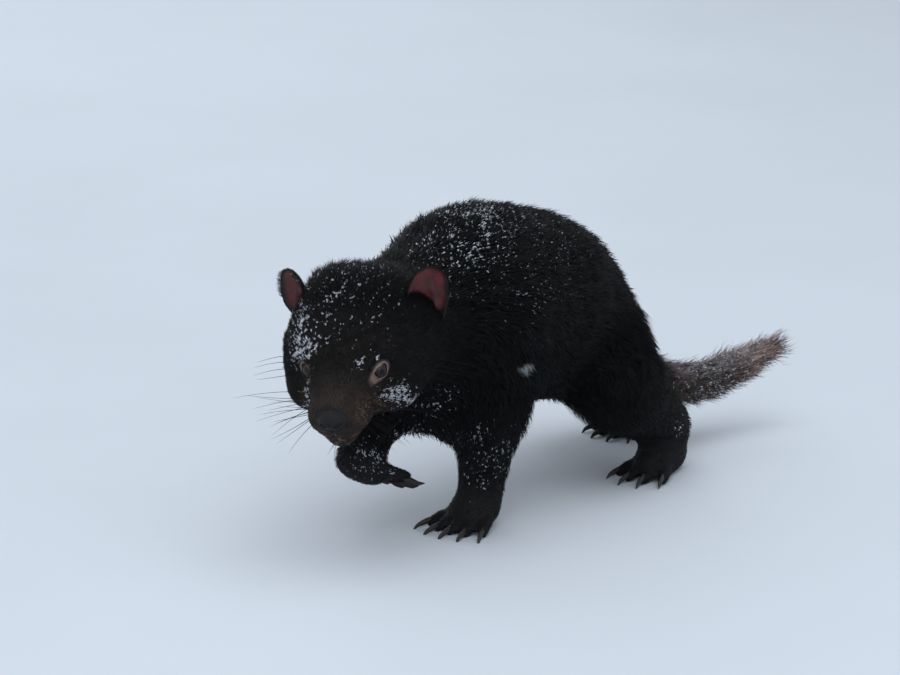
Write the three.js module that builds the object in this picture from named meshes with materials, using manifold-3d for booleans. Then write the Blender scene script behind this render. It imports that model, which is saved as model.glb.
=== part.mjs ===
// A walking Tasmanian devil at life size, standing on three feet with its right forepaw lifted.
// Millimetres, +X towards the head, +Y to the animal's left, +Z up, origin under the middle on the floor.
// The flesh and its short coat are one smooth field of ellipsoids and tapered limbs, which is meshed region
// by region and parted by thin cuts. Eyes, nose pad, ears, claws and the tail's locks are set on it.
import * as THREE from "three";
import { mergeVertices } from "three/addons/utils/BufferGeometryUtils.js";
import Module from "manifold-3d";

const wasm = await Module();
wasm.setup();

// Driving dimensions
const BACK_HEIGHT = 300; // floor to the top of the arched back, coat included
const CHEST_WIDTH = 172;
const HEAD_WIDTH = 146; // across the cheeks
const HEAD_YAW = THREE.MathUtils.degToRad(23); // turned to the left of the trunk
const HEAD_PITCH = THREE.MathUtils.degToRad(25); // nose down
const HEAD_ROLL = THREE.MathUtils.degToRad(4.5); // right side down
const EYE_SPACING = 58;
const EYE_RADIUS = 8.2;
const LEFT_EAR = { height: 51, lean: 8 };
const RIGHT_EAR = { height: 46, lean: 1 }; // turned a little inwards
const EAR_WIDTH = 40;
const FORE_CLAW = 17;
const HIND_CLAW = 14;
const GAP = 0.3; // between neighbouring nodes

const V = (x, y, z) => new THREE.Vector3(x, y, z);
const { lerp, clamp } = THREE.MathUtils;

// Materials
const finish = (color, roughness) => new THREE.MeshStandardMaterial({ color, roughness, metalness: 0 });
const BLACK_COAT = finish(0x141316, 0.85);
const BROWN_COAT = finish(0x3a2b25, 0.85);
const EAR_SKIN = finish(0x7a3436, 0.6);
const NOSE_SKIN = finish(0x17151a, 0.35);
const EYE_SURFACE = finish(0x0c0807, 0.08);
const CLAW_HORN = finish(0x2a2624, 0.4);

// Field pieces: each gives about the distance from a point to its surface, negative inside.
const sphereLike = (radii) => (x, y, z) => {
  const k0 = Math.hypot(x / radii.x, y / radii.y, z / radii.z);
  const k1 = Math.hypot(x / radii.x ** 2, y / radii.y ** 2, z / radii.z ** 2);
  return k1 < 1e-9 ? -Math.min(radii.x, radii.y, radii.z) : (k0 * (k0 - 1)) / k1;
};

function ellipsoid(centre, radii, blend, axes = [V(1, 0, 0), V(0, 1, 0), V(0, 0, 1)]) {
  const local = sphereLike(radii);
  const [a, b, c] = axes;
  const distance = (x, y, z) => {
    const px = x - centre.x;
    const py = y - centre.y;
    const pz = z - centre.z;
    return local(
      px * a.x + py * a.y + pz * a.z,
      px * b.x + py * b.y + pz * b.z,
      px * c.x + py * c.y + pz * c.z,
    );
  };
  return { distance, blend };
}

function limb(from, to, fromRadius, toRadius, blend) {
  const along = to.clone().sub(from);
  const l2 = along.lengthSq();
  const taper = fromRadius - toRadius;
  const a2 = l2 - taper * taper;
  const distance = (x, y, z) => {
    const px = x - from.x;
    const py = y - from.y;
    const pz = z - from.z;
    const s = px * along.x + py * along.y + pz * along.z;
    const e = s - l2;
    const x2 = (px * l2 - along.x * s) ** 2 + (py * l2 - along.y * s) ** 2 + (pz * l2 - along.z * s) ** 2;
    const s2 = s * s * l2;
    const e2 = e * e * l2;
    const k = Math.sign(taper) * taper * taper * x2;
    if (Math.sign(e) * a2 * e2 > k) return Math.sqrt(x2 + e2) / l2 - toRadius;
    if (Math.sign(s) * a2 * s2 < k) return Math.sqrt(x2 + s2) / l2 - fromRadius;
    return (Math.sqrt((x2 * a2) / l2) + s * taper) / l2 - fromRadius;
  };
  return { distance, blend };
}

function blended(pieces) {
  return (x, y, z) => {
    let d = pieces[0].distance(x, y, z);
    for (let i = 1; i < pieces.length; i++) {
      const other = pieces[i].distance(x, y, z);
      const k = pieces[i].blend;
      const h = Math.max(k - Math.abs(d - other), 0) / k;
      d = Math.min(d, other) - (h * h * k) / 4;
    }
    return d;
  };
}

function gradient(field, p, step = 0.5) {
  return V(
    field(p.x + step, p.y, p.z) - field(p.x - step, p.y, p.z),
    field(p.x, p.y + step, p.z) - field(p.x, p.y - step, p.z),
    field(p.x, p.y, p.z + step) - field(p.x, p.y, p.z - step),
  ).divideScalar(2 * step);
}

// Moves a point along the field's slope until the field there is level.
function ontoSurface(field, point, level = 0, steps = 8) {
  const p = point.clone();
  for (let i = 0; i < steps; i++) {
    const g = gradient(field, p);
    p.addScaledVector(g, (level - field(p.x, p.y, p.z)) / Math.max(g.lengthSq(), 0.05));
  }
  return p;
}

// Meshes the surface where the field equals level. Each cell that it crosses gets one vertex for every
// separate inside corner group, so that two sheets that pass through one cell stay apart.
function meshField(field, low, high, cell, level = 0) {
  const n = [0, 1, 2].map((i) => Math.ceil((high.getComponent(i) - low.getComponent(i)) / cell) + 1);
  const at = (i, j, k) => (k * n[1] + j) * n[0] + i;
  const values = new Float32Array(n[0] * n[1] * n[2]);
  for (let k = 0; k < n[2]; k++)
    for (let j = 0; j < n[1]; j++)
      for (let i = 0; i < n[0]; i++) {
        const rim = !i || !j || !k || i === n[0] - 1 || j === n[1] - 1 || k === n[2] - 1;
        const value = field(low.x + i * cell, low.y + j * cell, low.z + k * cell) - level;
        values[at(i, j, k)] = rim ? Math.max(value, cell / 2) : value || 1e-6;
      }
  const corners = [0, 1, 2, 3, 4, 5, 6, 7].map((c) => [c & 1, (c >> 1) & 1, c >> 2]);
  const edges = corners.flatMap((_, a) => [1, 2, 4].filter((bit) => !(a & bit)).map((bit) => [a, a | bit]));
  const vertexOf = new Map();
  const positions = [];
  for (let k = 0; k < n[2] - 1; k++)
    for (let j = 0; j < n[1] - 1; j++)
      for (let i = 0; i < n[0] - 1; i++) {
        const v = corners.map(([a, b, c]) => values[at(i + a, j + b, k + c)]);
        const inside = v.map((value) => value < 0);
        if (inside.every(Boolean) || !inside.some(Boolean)) continue;
        const group = v.map((_, c) => c);
        for (let pass = 0; pass < 7; pass++)
          for (const [a, b] of edges)
            if (inside[a] && inside[b]) group[a] = group[b] = Math.min(group[a], group[b]);
        const free = Math.min(i, j, k) > 0 && i < n[0] - 2 && j < n[1] - 2 && k < n[2] - 2;
        for (const g of new Set(group.filter((_, c) => inside[c]))) {
          const sum = V(0, 0, 0);
          let crossings = 0;
          for (const [a, b] of edges) {
            if (inside[a] === inside[b] || group[inside[a] ? a : b] !== g) continue;
            const t = v[a] / (v[a] - v[b]);
            sum.add(V(...corners[a]).lerp(V(...corners[b]), t));
            crossings++;
          }
          const p = sum.divideScalar(crossings).add(V(i, j, k)).multiplyScalar(cell).add(low);
          const moved = ontoSurface(field, p, level, 2);
          if (free && moved.distanceTo(p) < cell / 2) p.copy(moved);
          corners.forEach((_, c) => {
            if (inside[c] && group[c] === g) vertexOf.set(at(i, j, k) * 8 + c, positions.length);
          });
          positions.push(p);
        }
      }
  const index = [];
  const quad = (q) => {
    const [a, b, c, d] = q.map((i) => positions[i]);
    const shortFirst = a.distanceTo(c) < b.distanceTo(d);
    if (shortFirst) index.push(q[0], q[1], q[2], q[0], q[2], q[3]);
    else index.push(q[1], q[2], q[3], q[1], q[3], q[0]);
  };
  const ways = [1, 2, 4];
  for (let k = 0; k < n[2] - 1; k++)
    for (let j = 0; j < n[1] - 1; j++)
      for (let i = 0; i < n[0] - 1; i++)
        ways.forEach((way, axis) => {
          const here = values[at(i, j, k)] < 0;
          if (here === values[at(i + (way & 1), j + ((way >> 1) & 1), k + (way >> 2))] < 0) return;
          const first = ways[(axis + 1) % 3];
          const second = ways[(axis + 2) % 3];
          const around = [first | second, second, 0, first].map((back) => {
            const cellIndex = at(i - (back & 1), j - ((back >> 1) & 1), k - (back >> 2));
            return vertexOf.get(cellIndex * 8 + (here ? back : back | way));
          });
          quad(here ? around : around.reverse());
        });
  const geometry = new THREE.BufferGeometry();
  const numbers = positions.flatMap((p) => p.toArray());
  geometry.setAttribute("position", new THREE.Float32BufferAttribute(numbers, 3));
  geometry.setIndex(index);
  return geometry;
}

// Closed geometry to a solid that can be cut and joined, and back.
function solid(geometry) {
  const g = geometry.clone();
  g.deleteAttribute("normal");
  g.deleteAttribute("uv");
  const merged = mergeVertices(g, 1e-4);
  const mesh = new wasm.Mesh({
    numProp: 3,
    vertProperties: new Float32Array(merged.attributes.position.array),
    triVerts: new Uint32Array(merged.index.array),
  });
  return new wasm.Manifold(mesh);
}

function largest(shape) {
  const bodies = shape.decompose();
  return bodies.reduce((best, body) => (body.volume() > best.volume() ? body : best));
}

function toMesh(name, shape, material) {
  const { numProp, vertProperties, triVerts } = largest(shape).getMesh();
  const count = vertProperties.length / numProp;
  const array = new Float32Array(count * 3);
  for (let i = 0; i < count; i++) array.set(vertProperties.subarray(i * numProp, i * numProp + 3), i * 3);
  const geometry = new THREE.BufferGeometry();
  geometry.setAttribute("position", new THREE.BufferAttribute(array, 3));
  geometry.setIndex(new THREE.BufferAttribute(triVerts, 1));
  geometry.computeVertexNormals();
  const mesh = new THREE.Mesh(geometry, material);
  mesh.name = name;
  return mesh;
}

// A closed tube along points, with a ring of a given half width and half thickness at each. It ends in a point.
// across is the direction of the width, one for all or one for each point.
function spike(points, across, widths, thicknesses, sides) {
  const positions = [];
  const index = [];
  const rings = points.length - 1;
  for (let r = 0; r < rings; r++) {
    const along = points[r + 1].clone().sub(points[Math.max(r - 1, 0)]).normalize();
    const side = Array.isArray(across) ? across[r] : across;
    const wide = side.clone().addScaledVector(along, -side.dot(along)).normalize();
    const thick = along.clone().cross(wide);
    for (let s = 0; s < sides; s++) {
      const a = (2 * Math.PI * s) / sides;
      const p = points[r].clone();
      p.addScaledVector(wide, widths[r] * Math.cos(a)).addScaledVector(thick, thicknesses[r] * Math.sin(a));
      positions.push(...p.toArray());
    }
  }
  const root = positions.length / 3;
  positions.push(...points[0].toArray(), ...points[rings].toArray());
  for (let s = 0; s < sides; s++) {
    const t = (s + 1) % sides;
    index.push(root, t, s);
    for (let r = 0; r < rings - 1; r++) {
      const a = r * sides;
      const b = a + sides;
      index.push(a + s, a + t, b + t, a + s, b + t, b + s);
    }
    index.push((rings - 1) * sides + s, (rings - 1) * sides + t, root + 1);
  }
  const geometry = new THREE.BufferGeometry();
  geometry.setAttribute("position", new THREE.Float32BufferAttribute(positions, 3));
  geometry.setIndex(index);
  return geometry;
}

// Head frame: origin midway between the eyes, f to the nose, l to the left, u up.
const EYE_LINE = V(286, 17, 186);
const HEAD_F = V(
  Math.cos(HEAD_YAW) * Math.cos(HEAD_PITCH),
  Math.sin(HEAD_YAW) * Math.cos(HEAD_PITCH),
  -Math.sin(HEAD_PITCH),
);
const HEAD_L = V(-Math.sin(HEAD_YAW), Math.cos(HEAD_YAW), 0).applyAxisAngle(HEAD_F, HEAD_ROLL);
const HEAD_U = HEAD_F.clone().cross(HEAD_L);
const HEAD_AXES = [HEAD_F, HEAD_L, HEAD_U];
const headWay = (f, l, u) =>
  V(0, 0, 0).addScaledVector(HEAD_F, f).addScaledVector(HEAD_L, l).addScaledVector(HEAD_U, u);
const headPoint = (f, l, u) => headWay(f, l, u).add(EYE_LINE);
const SIDES = [
  { side: "left", s: 1, ear: LEFT_EAR },
  { side: "right", s: -1, ear: RIGHT_EAR },
];

// Trunk: the back is highest over the shoulders and falls to the rump.
const half = CHEST_WIDTH / 2;
const trunk = [
  ellipsoid(V(82, 0, BACK_HEIGHT - 98), V(88, half, 98), 24),
  ellipsoid(V(32, 0, BACK_HEIGHT - 107), V(104, half - 3, 95), 24),
  ellipsoid(V(-22, 0, BACK_HEIGHT - 121), V(96, half - 9, 87), 24),
  ellipsoid(V(-78, 0, BACK_HEIGHT - 152), V(60, half - 21, 67), 24),
  ellipsoid(V(122, 0, BACK_HEIGHT - 158), V(62, 58, 56), 24),
];
const neck = [limb(V(114, 0, BACK_HEIGHT - 93), V(212, -2, 203), 74, 62, 24)];

// Skull, muzzle, jaw, crown, cheeks, whisker pads, brows, lips and the bulge of the lids
const MOUTH = [
  [-8, 37, -29],
  [8, 30, -31],
  [26, 23, -31],
  [42, 16, -31],
  [53, 8, -31],
  [58, 0, -29],
];
const skull = [
  ellipsoid(headPoint(-52, 0, 4), V(60, 60, 46), 24, HEAD_AXES),
  ellipsoid(headPoint(-12, 0, 1), V(36, 42, 29), 14, HEAD_AXES),
  limb(headPoint(0, 0, -10), headPoint(42, 0, -14), 32, 20.5, 14),
  limb(headPoint(-24, 0, -30), headPoint(40, 0, -36), 30, 15, 8),
  ...SIDES.flatMap(({ s }) => [
    ellipsoid(headPoint(-48, s * (HEAD_WIDTH / 2 - 33), -12), V(46, 33, 38), 16, HEAD_AXES),
    ellipsoid(headPoint(-70, s * 20, 28), V(38, 34, 34), 16, HEAD_AXES),
    ellipsoid(headPoint(-18, s * 37, -25), V(34, 27, 24), 12, HEAD_AXES),
    ellipsoid(headPoint(33, s * 14, -20), V(22, 14.5, 13.5), 7, HEAD_AXES),
    ellipsoid(headPoint(-12, s * 27, 13), V(17, 13, 8), 8, HEAD_AXES),
  ]),
];
const bareHead = blended([...trunk, ...neck, ...skull]);
const eyeWay = (s) => headWay(0.72, s * 0.62, 0.22).normalize();
const EYES = SIDES.map(({ side, s }) => {
  const front = ontoSurface(bareHead, headPoint(4, (s * EYE_SPACING) / 2, 4));
  return { side, s, way: eyeWay(s), centre: front.addScaledVector(eyeWay(s), 0.4 - EYE_RADIUS) };
});
const lidSize = V(1, 1, 1).multiplyScalar(EYE_RADIUS + 1.8);
const headPieces = [...skull, ...EYES.map(({ centre }) => ellipsoid(centre, lidSize, 6))];

// Legs: shoulder or hip, elbow or knee, wrist or hock
const LEGS = {
  left_foreleg: [
    { at: V(98, 46, 200), r: 46 },
    { at: V(104, 40, 118), r: 38 },
    { at: V(98, 27, 38), r: 22 },
  ],
  right_foreleg: [
    { at: V(98, -46, 200), r: 46 },
    { at: V(112, -58, 124), r: 34 },
    { at: V(203, -38, 78), r: 20 },
  ],
  left_hindleg: [
    { at: V(-84, 36, 132), r: 45 },
    { at: V(-70, 58, 104), r: 46 },
    { at: V(-151, 60, 46), r: 26 },
  ],
  right_hindleg: [
    { at: V(-88, -34, 132), r: 45 },
    { at: V(-134, -52, 98), r: 42 },
    { at: V(-256, -46, 46), r: 23 },
  ],
};
const legPieces = Object.values(LEGS).flatMap(([top, bend, end]) => [
  limb(top.at, bend.at, top.r, bend.r, 24),
  limb(bend.at, end.at, bend.r, end.r, 18),
]);

// Paws: a palm or sole, and toes fanned about its axis. ahead runs to the toes, sole points out of the pad.
const PAWS = {
  left_forepaw: {
    root: V(96, 25, 20),
    ahead: V(0.98, 0.02, -0.1),
    sole: V(0, 0, -1),
    length: 34,
    palm: V(27, 24, 19),
    toes: 5,
    spread: 46,
    claw: FORE_CLAW,
  },
  right_forepaw: {
    root: V(205, -38, 72),
    ahead: V(-0.74, 0.17, -0.65),
    sole: V(-0.6, 0, 0.8),
    length: 34,
    palm: V(27, 22, 16),
    toes: 5,
    spread: 44,
    claw: FORE_CLAW,
  },
  left_hindpaw: {
    root: V(-156, 60, 20),
    ahead: V(0.99, 0.08, -0.06),
    sole: V(0, 0, -1),
    length: 46,
    palm: V(38, 21, 20),
    toes: 4,
    spread: 34,
    claw: HIND_CLAW,
  },
  right_hindpaw: {
    root: V(-266, -46, 20),
    ahead: V(0.99, -0.06, -0.08),
    sole: V(0, 0, -1),
    length: 44,
    palm: V(36, 21, 20),
    toes: 4,
    spread: 34,
    claw: HIND_CLAW,
  },
};
const TOE_RADIUS = 6.2;
const TOE_LENGTH = 22;

function pawFrame(paw) {
  const way = paw.ahead.clone().normalize();
  const sole = paw.sole.clone().addScaledVector(way, -paw.sole.dot(way)).normalize();
  return { way, sole, across: sole.clone().cross(way) };
}

function toesOf(paw) {
  const { way, sole, across } = pawFrame(paw);
  const width = paw.palm.y - TOE_RADIUS + 2;
  return Array.from({ length: paw.toes }, (_, i) => {
    const t = (2 * i) / (paw.toes - 1) - 1;
    const angle = THREE.MathUtils.degToRad((paw.spread / 2) * t);
    const toeWay = way.clone().multiplyScalar(Math.cos(angle)).addScaledVector(across, Math.sin(angle));
    const base = paw.root.clone().addScaledVector(way, paw.length - 12 - 6 * t * t);
    base.addScaledVector(across, width * t).addScaledVector(sole, 8);
    const reach = 12 + TOE_LENGTH * (1 - 0.16 * t * t);
    const at = (d, down) => base.clone().addScaledVector(toeWay, reach * d).addScaledVector(sole, down);
    const points = [at(0, 0), at(0.42, 0.5), at(0.74, 3), at(0.93, 5.5), at(1.02, 6.6)];
    return { points, way: toeWay, sole, across };
  });
}
const toeSolid = ({ points, across }, grow = 0) => {
  const radii = [1.02, 1.1, 1, 0.72, 0].map((k) => k * TOE_RADIUS + (k ? grow : 0));
  return solid(spike(points, across, radii, radii, 6));
};

function palm(paw) {
  const { way, sole, across } = pawFrame(paw);
  const middle = paw.root.clone().addScaledVector(way, paw.length * 0.36).addScaledVector(sole, 4);
  return ellipsoid(middle, paw.palm, 12, [way, across, sole.clone().negate()]);
}

// Tail: a thick root that drops behind the rump, then runs nearly level and swings to the left.
const TAIL = [
  V(-120, 0, 120),
  V(-162, 4, 90),
  V(-207, 13, 69),
  V(-256, 27, 61),
  V(-307, 41, 70),
  V(-348, 52, 82),
];
const TAIL_CORE = [32, 22, 17, 14, 11, 4];
const tailCurve = new THREE.CatmullRomCurve3(TAIL);
const corePoints = tailCurve.getPoints(14);
const coreRadius = (t) => {
  const x = t * (TAIL_CORE.length - 1);
  const i = Math.min(Math.floor(x), TAIL_CORE.length - 2);
  return lerp(TAIL_CORE[i], TAIL_CORE[i + 1], x - i);
};
const coreRadii = corePoints.map((_, i) => coreRadius(i / 14) * (i === 14 ? 0 : 1));
const tailRoot = [0, 1, 2].map((i) => limb(TAIL[i], TAIL[i + 1], TAIL_CORE[i], TAIL_CORE[i + 1], 16));

const flesh = blended([
  ...trunk,
  ...neck,
  ...headPieces,
  ...legPieces,
  ...Object.values(PAWS).map(palm),
  ...tailRoot,
]);
const headFlesh = blended([...trunk, ...neck, ...headPieces]);

// Regions: a node keeps what lies ahead of its cutting planes, and its neighbours are cut clear of it.
const REACH = 700;
function ahead(planes, grow = 0) {
  const parts = planes.map(({ at, way }) => {
    const w = way.clone().normalize();
    const turn = new THREE.Quaternion().setFromUnitVectors(V(1, 0, 0), w);
    const geometry = new THREE.BoxGeometry(REACH, REACH, REACH).applyQuaternion(turn);
    const centre = at.clone().addScaledVector(w, REACH / 2 - grow);
    return solid(geometry.translate(centre.x, centre.y, centre.z));
  });
  return parts.reduce((all, part) => all.intersect(part));
}
const opposite = ({ at, way }) => ({ at, way: way.clone().negate() });

const HEAD_CUT = { at: headPoint(-102, 0, 0), way: headWay(1, 0, 0.42) };
const NECK_CUT = { at: V(150, 0, 200), way: V(1, -0.04, -0.05) };
const TAIL_CUT = { at: V(-186, 8, 89), way: V(-0.86, 0.14, -0.4) };
const LEG_CUTS = {
  left_foreleg: [
    { at: V(0, 0, 78), way: V(0, 0.62, -0.78) },
    { at: V(20, 0, 60), way: V(1, 0, 0) },
    { at: V(0, -10, 0), way: V(0, 1, 0) },
  ],
  right_foreleg: [
    { at: V(118, -58, 118), way: V(0.62, -0.34, -0.7) },
    { at: V(150, -12, 90), way: V(0.2, -1, 0) },
    { at: V(190, -40, 122), way: V(0.1, 0, -1) },
  ],
  left_hindleg: [
    { at: V(0, 0, 66), way: V(-0.15, 0.6, -0.78) },
    { at: V(-14, 0, 60), way: V(-1, 0, 0) },
    { at: V(0, 2, 0), way: V(0, 1, 0) },
  ],
  right_hindleg: [
    { at: V(0, 0, 66), way: V(-0.15, -0.6, -0.78) },
    { at: V(-40, 0, 60), way: V(-1, 0, 0) },
    { at: V(0, -2, 0), way: V(0, -1, 0) },
  ],
};
const WRIST_CUTS = {
  left_foreleg: { at: V(98, 27, 40), way: V(0.2, 0, -1) },
  right_foreleg: { at: V(203, -38, 78), way: V(0.16, 0.3, -0.94) },
  left_hindleg: { at: V(-151, 60, 40), way: V(0.1, 0, -1) },
  right_hindleg: { at: V(-256, -46, 33), way: V(0.06, 0, -1) },
};

const region = (field, low, high, cell, level = 0) => solid(meshField(field, low, high, cell, level));
const around = (centre, reach) => [centre.clone().sub(reach), centre.clone().add(reach)];
const scaledBall = (centre, radii, axes, across, down) => {
  const turn = new THREE.Matrix4().makeBasis(...axes).setPosition(centre);
  return solid(new THREE.SphereGeometry(1, across, down).scale(radii.x, radii.y, radii.z).applyMatrix4(turn));
};

const meshes = [];
const add = (name, shape, material) => meshes.push(toMesh(name, shape, material));

// Head: sockets and slits for the eyes, seats for the nose pad, the line of the mouth
let head = region(headFlesh, V(160, -110, 80), V(372, 125, 320), 7.9).intersect(ahead([HEAD_CUT]));
for (const { side, s, centre, way } of EYES) {
  const slit = headWay(0.5, -s * 0.86, -0.3);
  const along = slit.addScaledVector(way, -slit.dot(way)).normalize();
  const axes = [along, way.clone().cross(along), way];
  const half = 7.4;
  const almond = new THREE.Shape();
  almond.moveTo(-half, 0);
  almond.quadraticCurveTo(-half * 0.2, 6.6 * 1.4, half, -0.8);
  almond.quadraticCurveTo(0, -6.6 * 1.1, -half, 0);
  const prism = new THREE.ExtrudeGeometry(almond, { depth: 24, bevelEnabled: false, curveSegments: 8 });
  prism.applyMatrix4(new THREE.Matrix4().makeBasis(...axes).setPosition(centre));
  const ball = V(EYE_RADIUS, EYE_RADIUS, EYE_RADIUS);
  head = head.subtract(scaledBall(centre, ball.clone().addScalar(GAP), axes, 12, 8)).subtract(solid(prism));
  add(`${side}_eye`, scaledBall(centre, ball, axes, 12, 8), EYE_SURFACE);
}
const NOSE_AT = headPoint(55, 0, -10);
const NOSE_SIZE = V(8.5, 12.5, 9);
let nose = scaledBall(NOSE_AT, NOSE_SIZE, HEAD_AXES, 12, 7);
for (const { s } of SIDES)
  nose = nose.subtract(scaledBall(headPoint(62.5, s * 6.2, -11), V(6, 2.9, 2.2), HEAD_AXES, 8, 6));
add("nose", nose, NOSE_SKIN);
head = head.subtract(scaledBall(NOSE_AT, NOSE_SIZE.clone().addScalar(GAP), HEAD_AXES, 12, 7));
const leftLip = MOUTH.map(([f, l, u]) => ontoSurface(headFlesh, headPoint(f, l, u)));
const rightLip = MOUTH.slice(0, -1).map(([f, l, u]) => ontoSurface(headFlesh, headPoint(f, -l, u)));
const lips = new THREE.CatmullRomCurve3([...leftLip, ...rightLip.reverse()]).getPoints(20);
const outward = lips.map((p) => gradient(headFlesh, p).normalize());
const ends = (value) => lips.map((_, i) => (i === 20 ? 0 : i ? value : 0.3));
const raised = lips.map((p, i) => p.clone().addScaledVector(HEAD_U, 2.6).addScaledVector(outward[i], -1.6));
head = head.add(solid(spike(raised, outward, ends(2.8), ends(2.6), 6)));
head = head.subtract(solid(spike(lips, outward, ends(4.5), ends(1), 6)));
add("head", head, BLACK_COAT);

// Ears: a cupped leaf, thin at the rim, set on the side of the crown
const rows = 8;
const columns = 8;
for (const { side, s, ear } of SIDES) {
  const base = headPoint(-68, s * 62, 8);
  const up = headWay(-10, s * ear.lean, 46).normalize();
  const open = headWay(0.8, s * 0.6, 0).addScaledVector(up, 0);
  open.addScaledVector(up, -open.dot(up)).normalize();
  const across = up.clone().cross(open);
  const point = (u, v, out) => {
    const rise = clamp((v - 0.4) / 0.6, 0, 1);
    const w = (EAR_WIDTH / 2) * Math.min(0.76 + 0.6 * v, 1) * Math.sqrt(Math.max(1 - rise ** 4, 0.03));
    const bend = lerp(1.25, 0.6, v);
    const thick = out * lerp(3.2, 1.1, v) * (1 - 0.6 * u ** 4);
    const r = w / Math.sin(bend);
    const droop = 0.15 * u * u * v * (1 - rise ** 2);
    const p = base.clone().addScaledVector(up, -8 + (ear.height + 8) * v * (1 - droop));
    p.addScaledVector(across, Math.sin(u * bend) * (r + thick));
    return p.addScaledVector(open, r * Math.cos(bend) - Math.cos(u * bend) * (r + thick));
  };
  const grid = [];
  const index = [];
  for (const out of [0, 1])
    for (let j = 0; j <= rows; j++)
      for (let i = 0; i <= columns; i++) {
        const rise = 1 - (1 - j / rows) ** 1.7;
        grid.push(...point((2 * i) / columns - 1, rise, out).toArray());
      }
  const at = (out, i, j) => (out * (rows + 1) + j) * (columns + 1) + i;
  const quad = (a, b, c, d) => index.push(a, b, c, a, c, d);
  for (let j = 0; j < rows; j++)
    for (let i = 0; i < columns; i++) {
      quad(at(0, i, j), at(0, i + 1, j), at(0, i + 1, j + 1), at(0, i, j + 1));
      quad(at(1, i + 1, j), at(1, i, j), at(1, i, j + 1), at(1, i + 1, j + 1));
    }
  for (let i = 0; i < columns; i++) {
    quad(at(1, i, 0), at(1, i + 1, 0), at(0, i + 1, 0), at(0, i, 0));
    quad(at(0, i, rows), at(0, i + 1, rows), at(1, i + 1, rows), at(1, i, rows));
  }
  for (let j = 0; j < rows; j++) {
    quad(at(1, 0, j), at(0, 0, j), at(0, 0, j + 1), at(1, 0, j + 1));
    quad(at(0, columns, j), at(1, columns, j), at(1, columns, j + 1), at(0, columns, j + 1));
  }
  const geometry = new THREE.BufferGeometry();
  geometry.setAttribute("position", new THREE.Float32BufferAttribute(grid, 3));
  geometry.setIndex(index);
  const seat = region(headFlesh, ...around(base, V(45, 40, 50)), 7, 0.4);
  add(`${side}_ear`, solid(geometry).subtract(seat), EAR_SKIN);
}

const tailRootSpace = (grow) => {
  const radii = coreRadii.map((r) => r + 8 + grow);
  return solid(spike(corePoints, V(0, 1, 0), radii, radii, 12));
};
const legSpace = (name, grow = 0) => ahead(LEG_CUTS[name], grow).subtract(tailRootSpace(-grow));
add(
  "neck",
  region(flesh, V(120, -125, 60), V(300, 125, 320), 14)
    .intersect(ahead([opposite(HEAD_CUT)], -GAP))
    .intersect(ahead([NECK_CUT]))
    .subtract(legSpace("right_foreleg", GAP))
    .subtract(legSpace("left_foreleg", GAP)),
  BLACK_COAT,
);
let torso = region(flesh, V(-225, -130, 40), V(215, 130, 330), 17)
  .intersect(ahead([opposite(NECK_CUT)], -GAP))
  .intersect(ahead([opposite(TAIL_CUT)], -GAP));
for (const name of Object.keys(LEG_CUTS)) torso = torso.subtract(legSpace(name, GAP));
add("torso", torso, BLACK_COAT);

// Legs, paws and claws
const floor = solid(new THREE.BoxGeometry(1400, 600, 100).translate(0, 0, -50));
for (const [name, [top, bend, end]] of Object.entries(LEGS)) {
  const low = V(1, 1, 1).multiplyScalar(1e3);
  const high = low.clone().negate();
  for (const { at, r } of [top, bend, end]) {
    low.min(at.clone().addScalar(-r - 20));
    high.max(at.clone().addScalar(r + 20));
  }
  const cut = WRIST_CUTS[name];
  const leg = region(flesh, low, high, 13)
    .intersect(legSpace(name))
    .intersect(ahead([opposite(cut)], -GAP));
  add(name, leg, BLACK_COAT);
  const pawName = name.replace("leg", "paw");
  const paw = PAWS[pawName];
  const box = around(paw.root.clone().addScaledVector(paw.ahead, 18), V(64, 50, 56));
  const toes = toesOf(paw);
  let foot = region(flesh, ...box, 9);
  for (const toe of toes) foot = foot.add(toeSolid(toe));
  add(pawName, foot.intersect(ahead([cut])).subtract(floor), BLACK_COAT);
  toes.forEach((toe, i) => {
    const long = paw.claw;
    const tip = toe.points[3];
    const points = [-4, 0.2 * long, 0.62 * long, long].map((d, k) =>
      tip.clone().addScaledVector(toe.way, d + 1).addScaledVector(toe.sole, [-3, -3.6, -2.2, 2][k]),
    );
    const claw = solid(spike(points, toe.across, [2.1, 2, 1.4, 0], [2.8, 2.6, 1.7, 0], 4));
    add(`${pawName}_claw_${i + 1}`, claw.subtract(toeSolid(toe, GAP)).subtract(floor), CLAW_HORN);
  });
}

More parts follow.
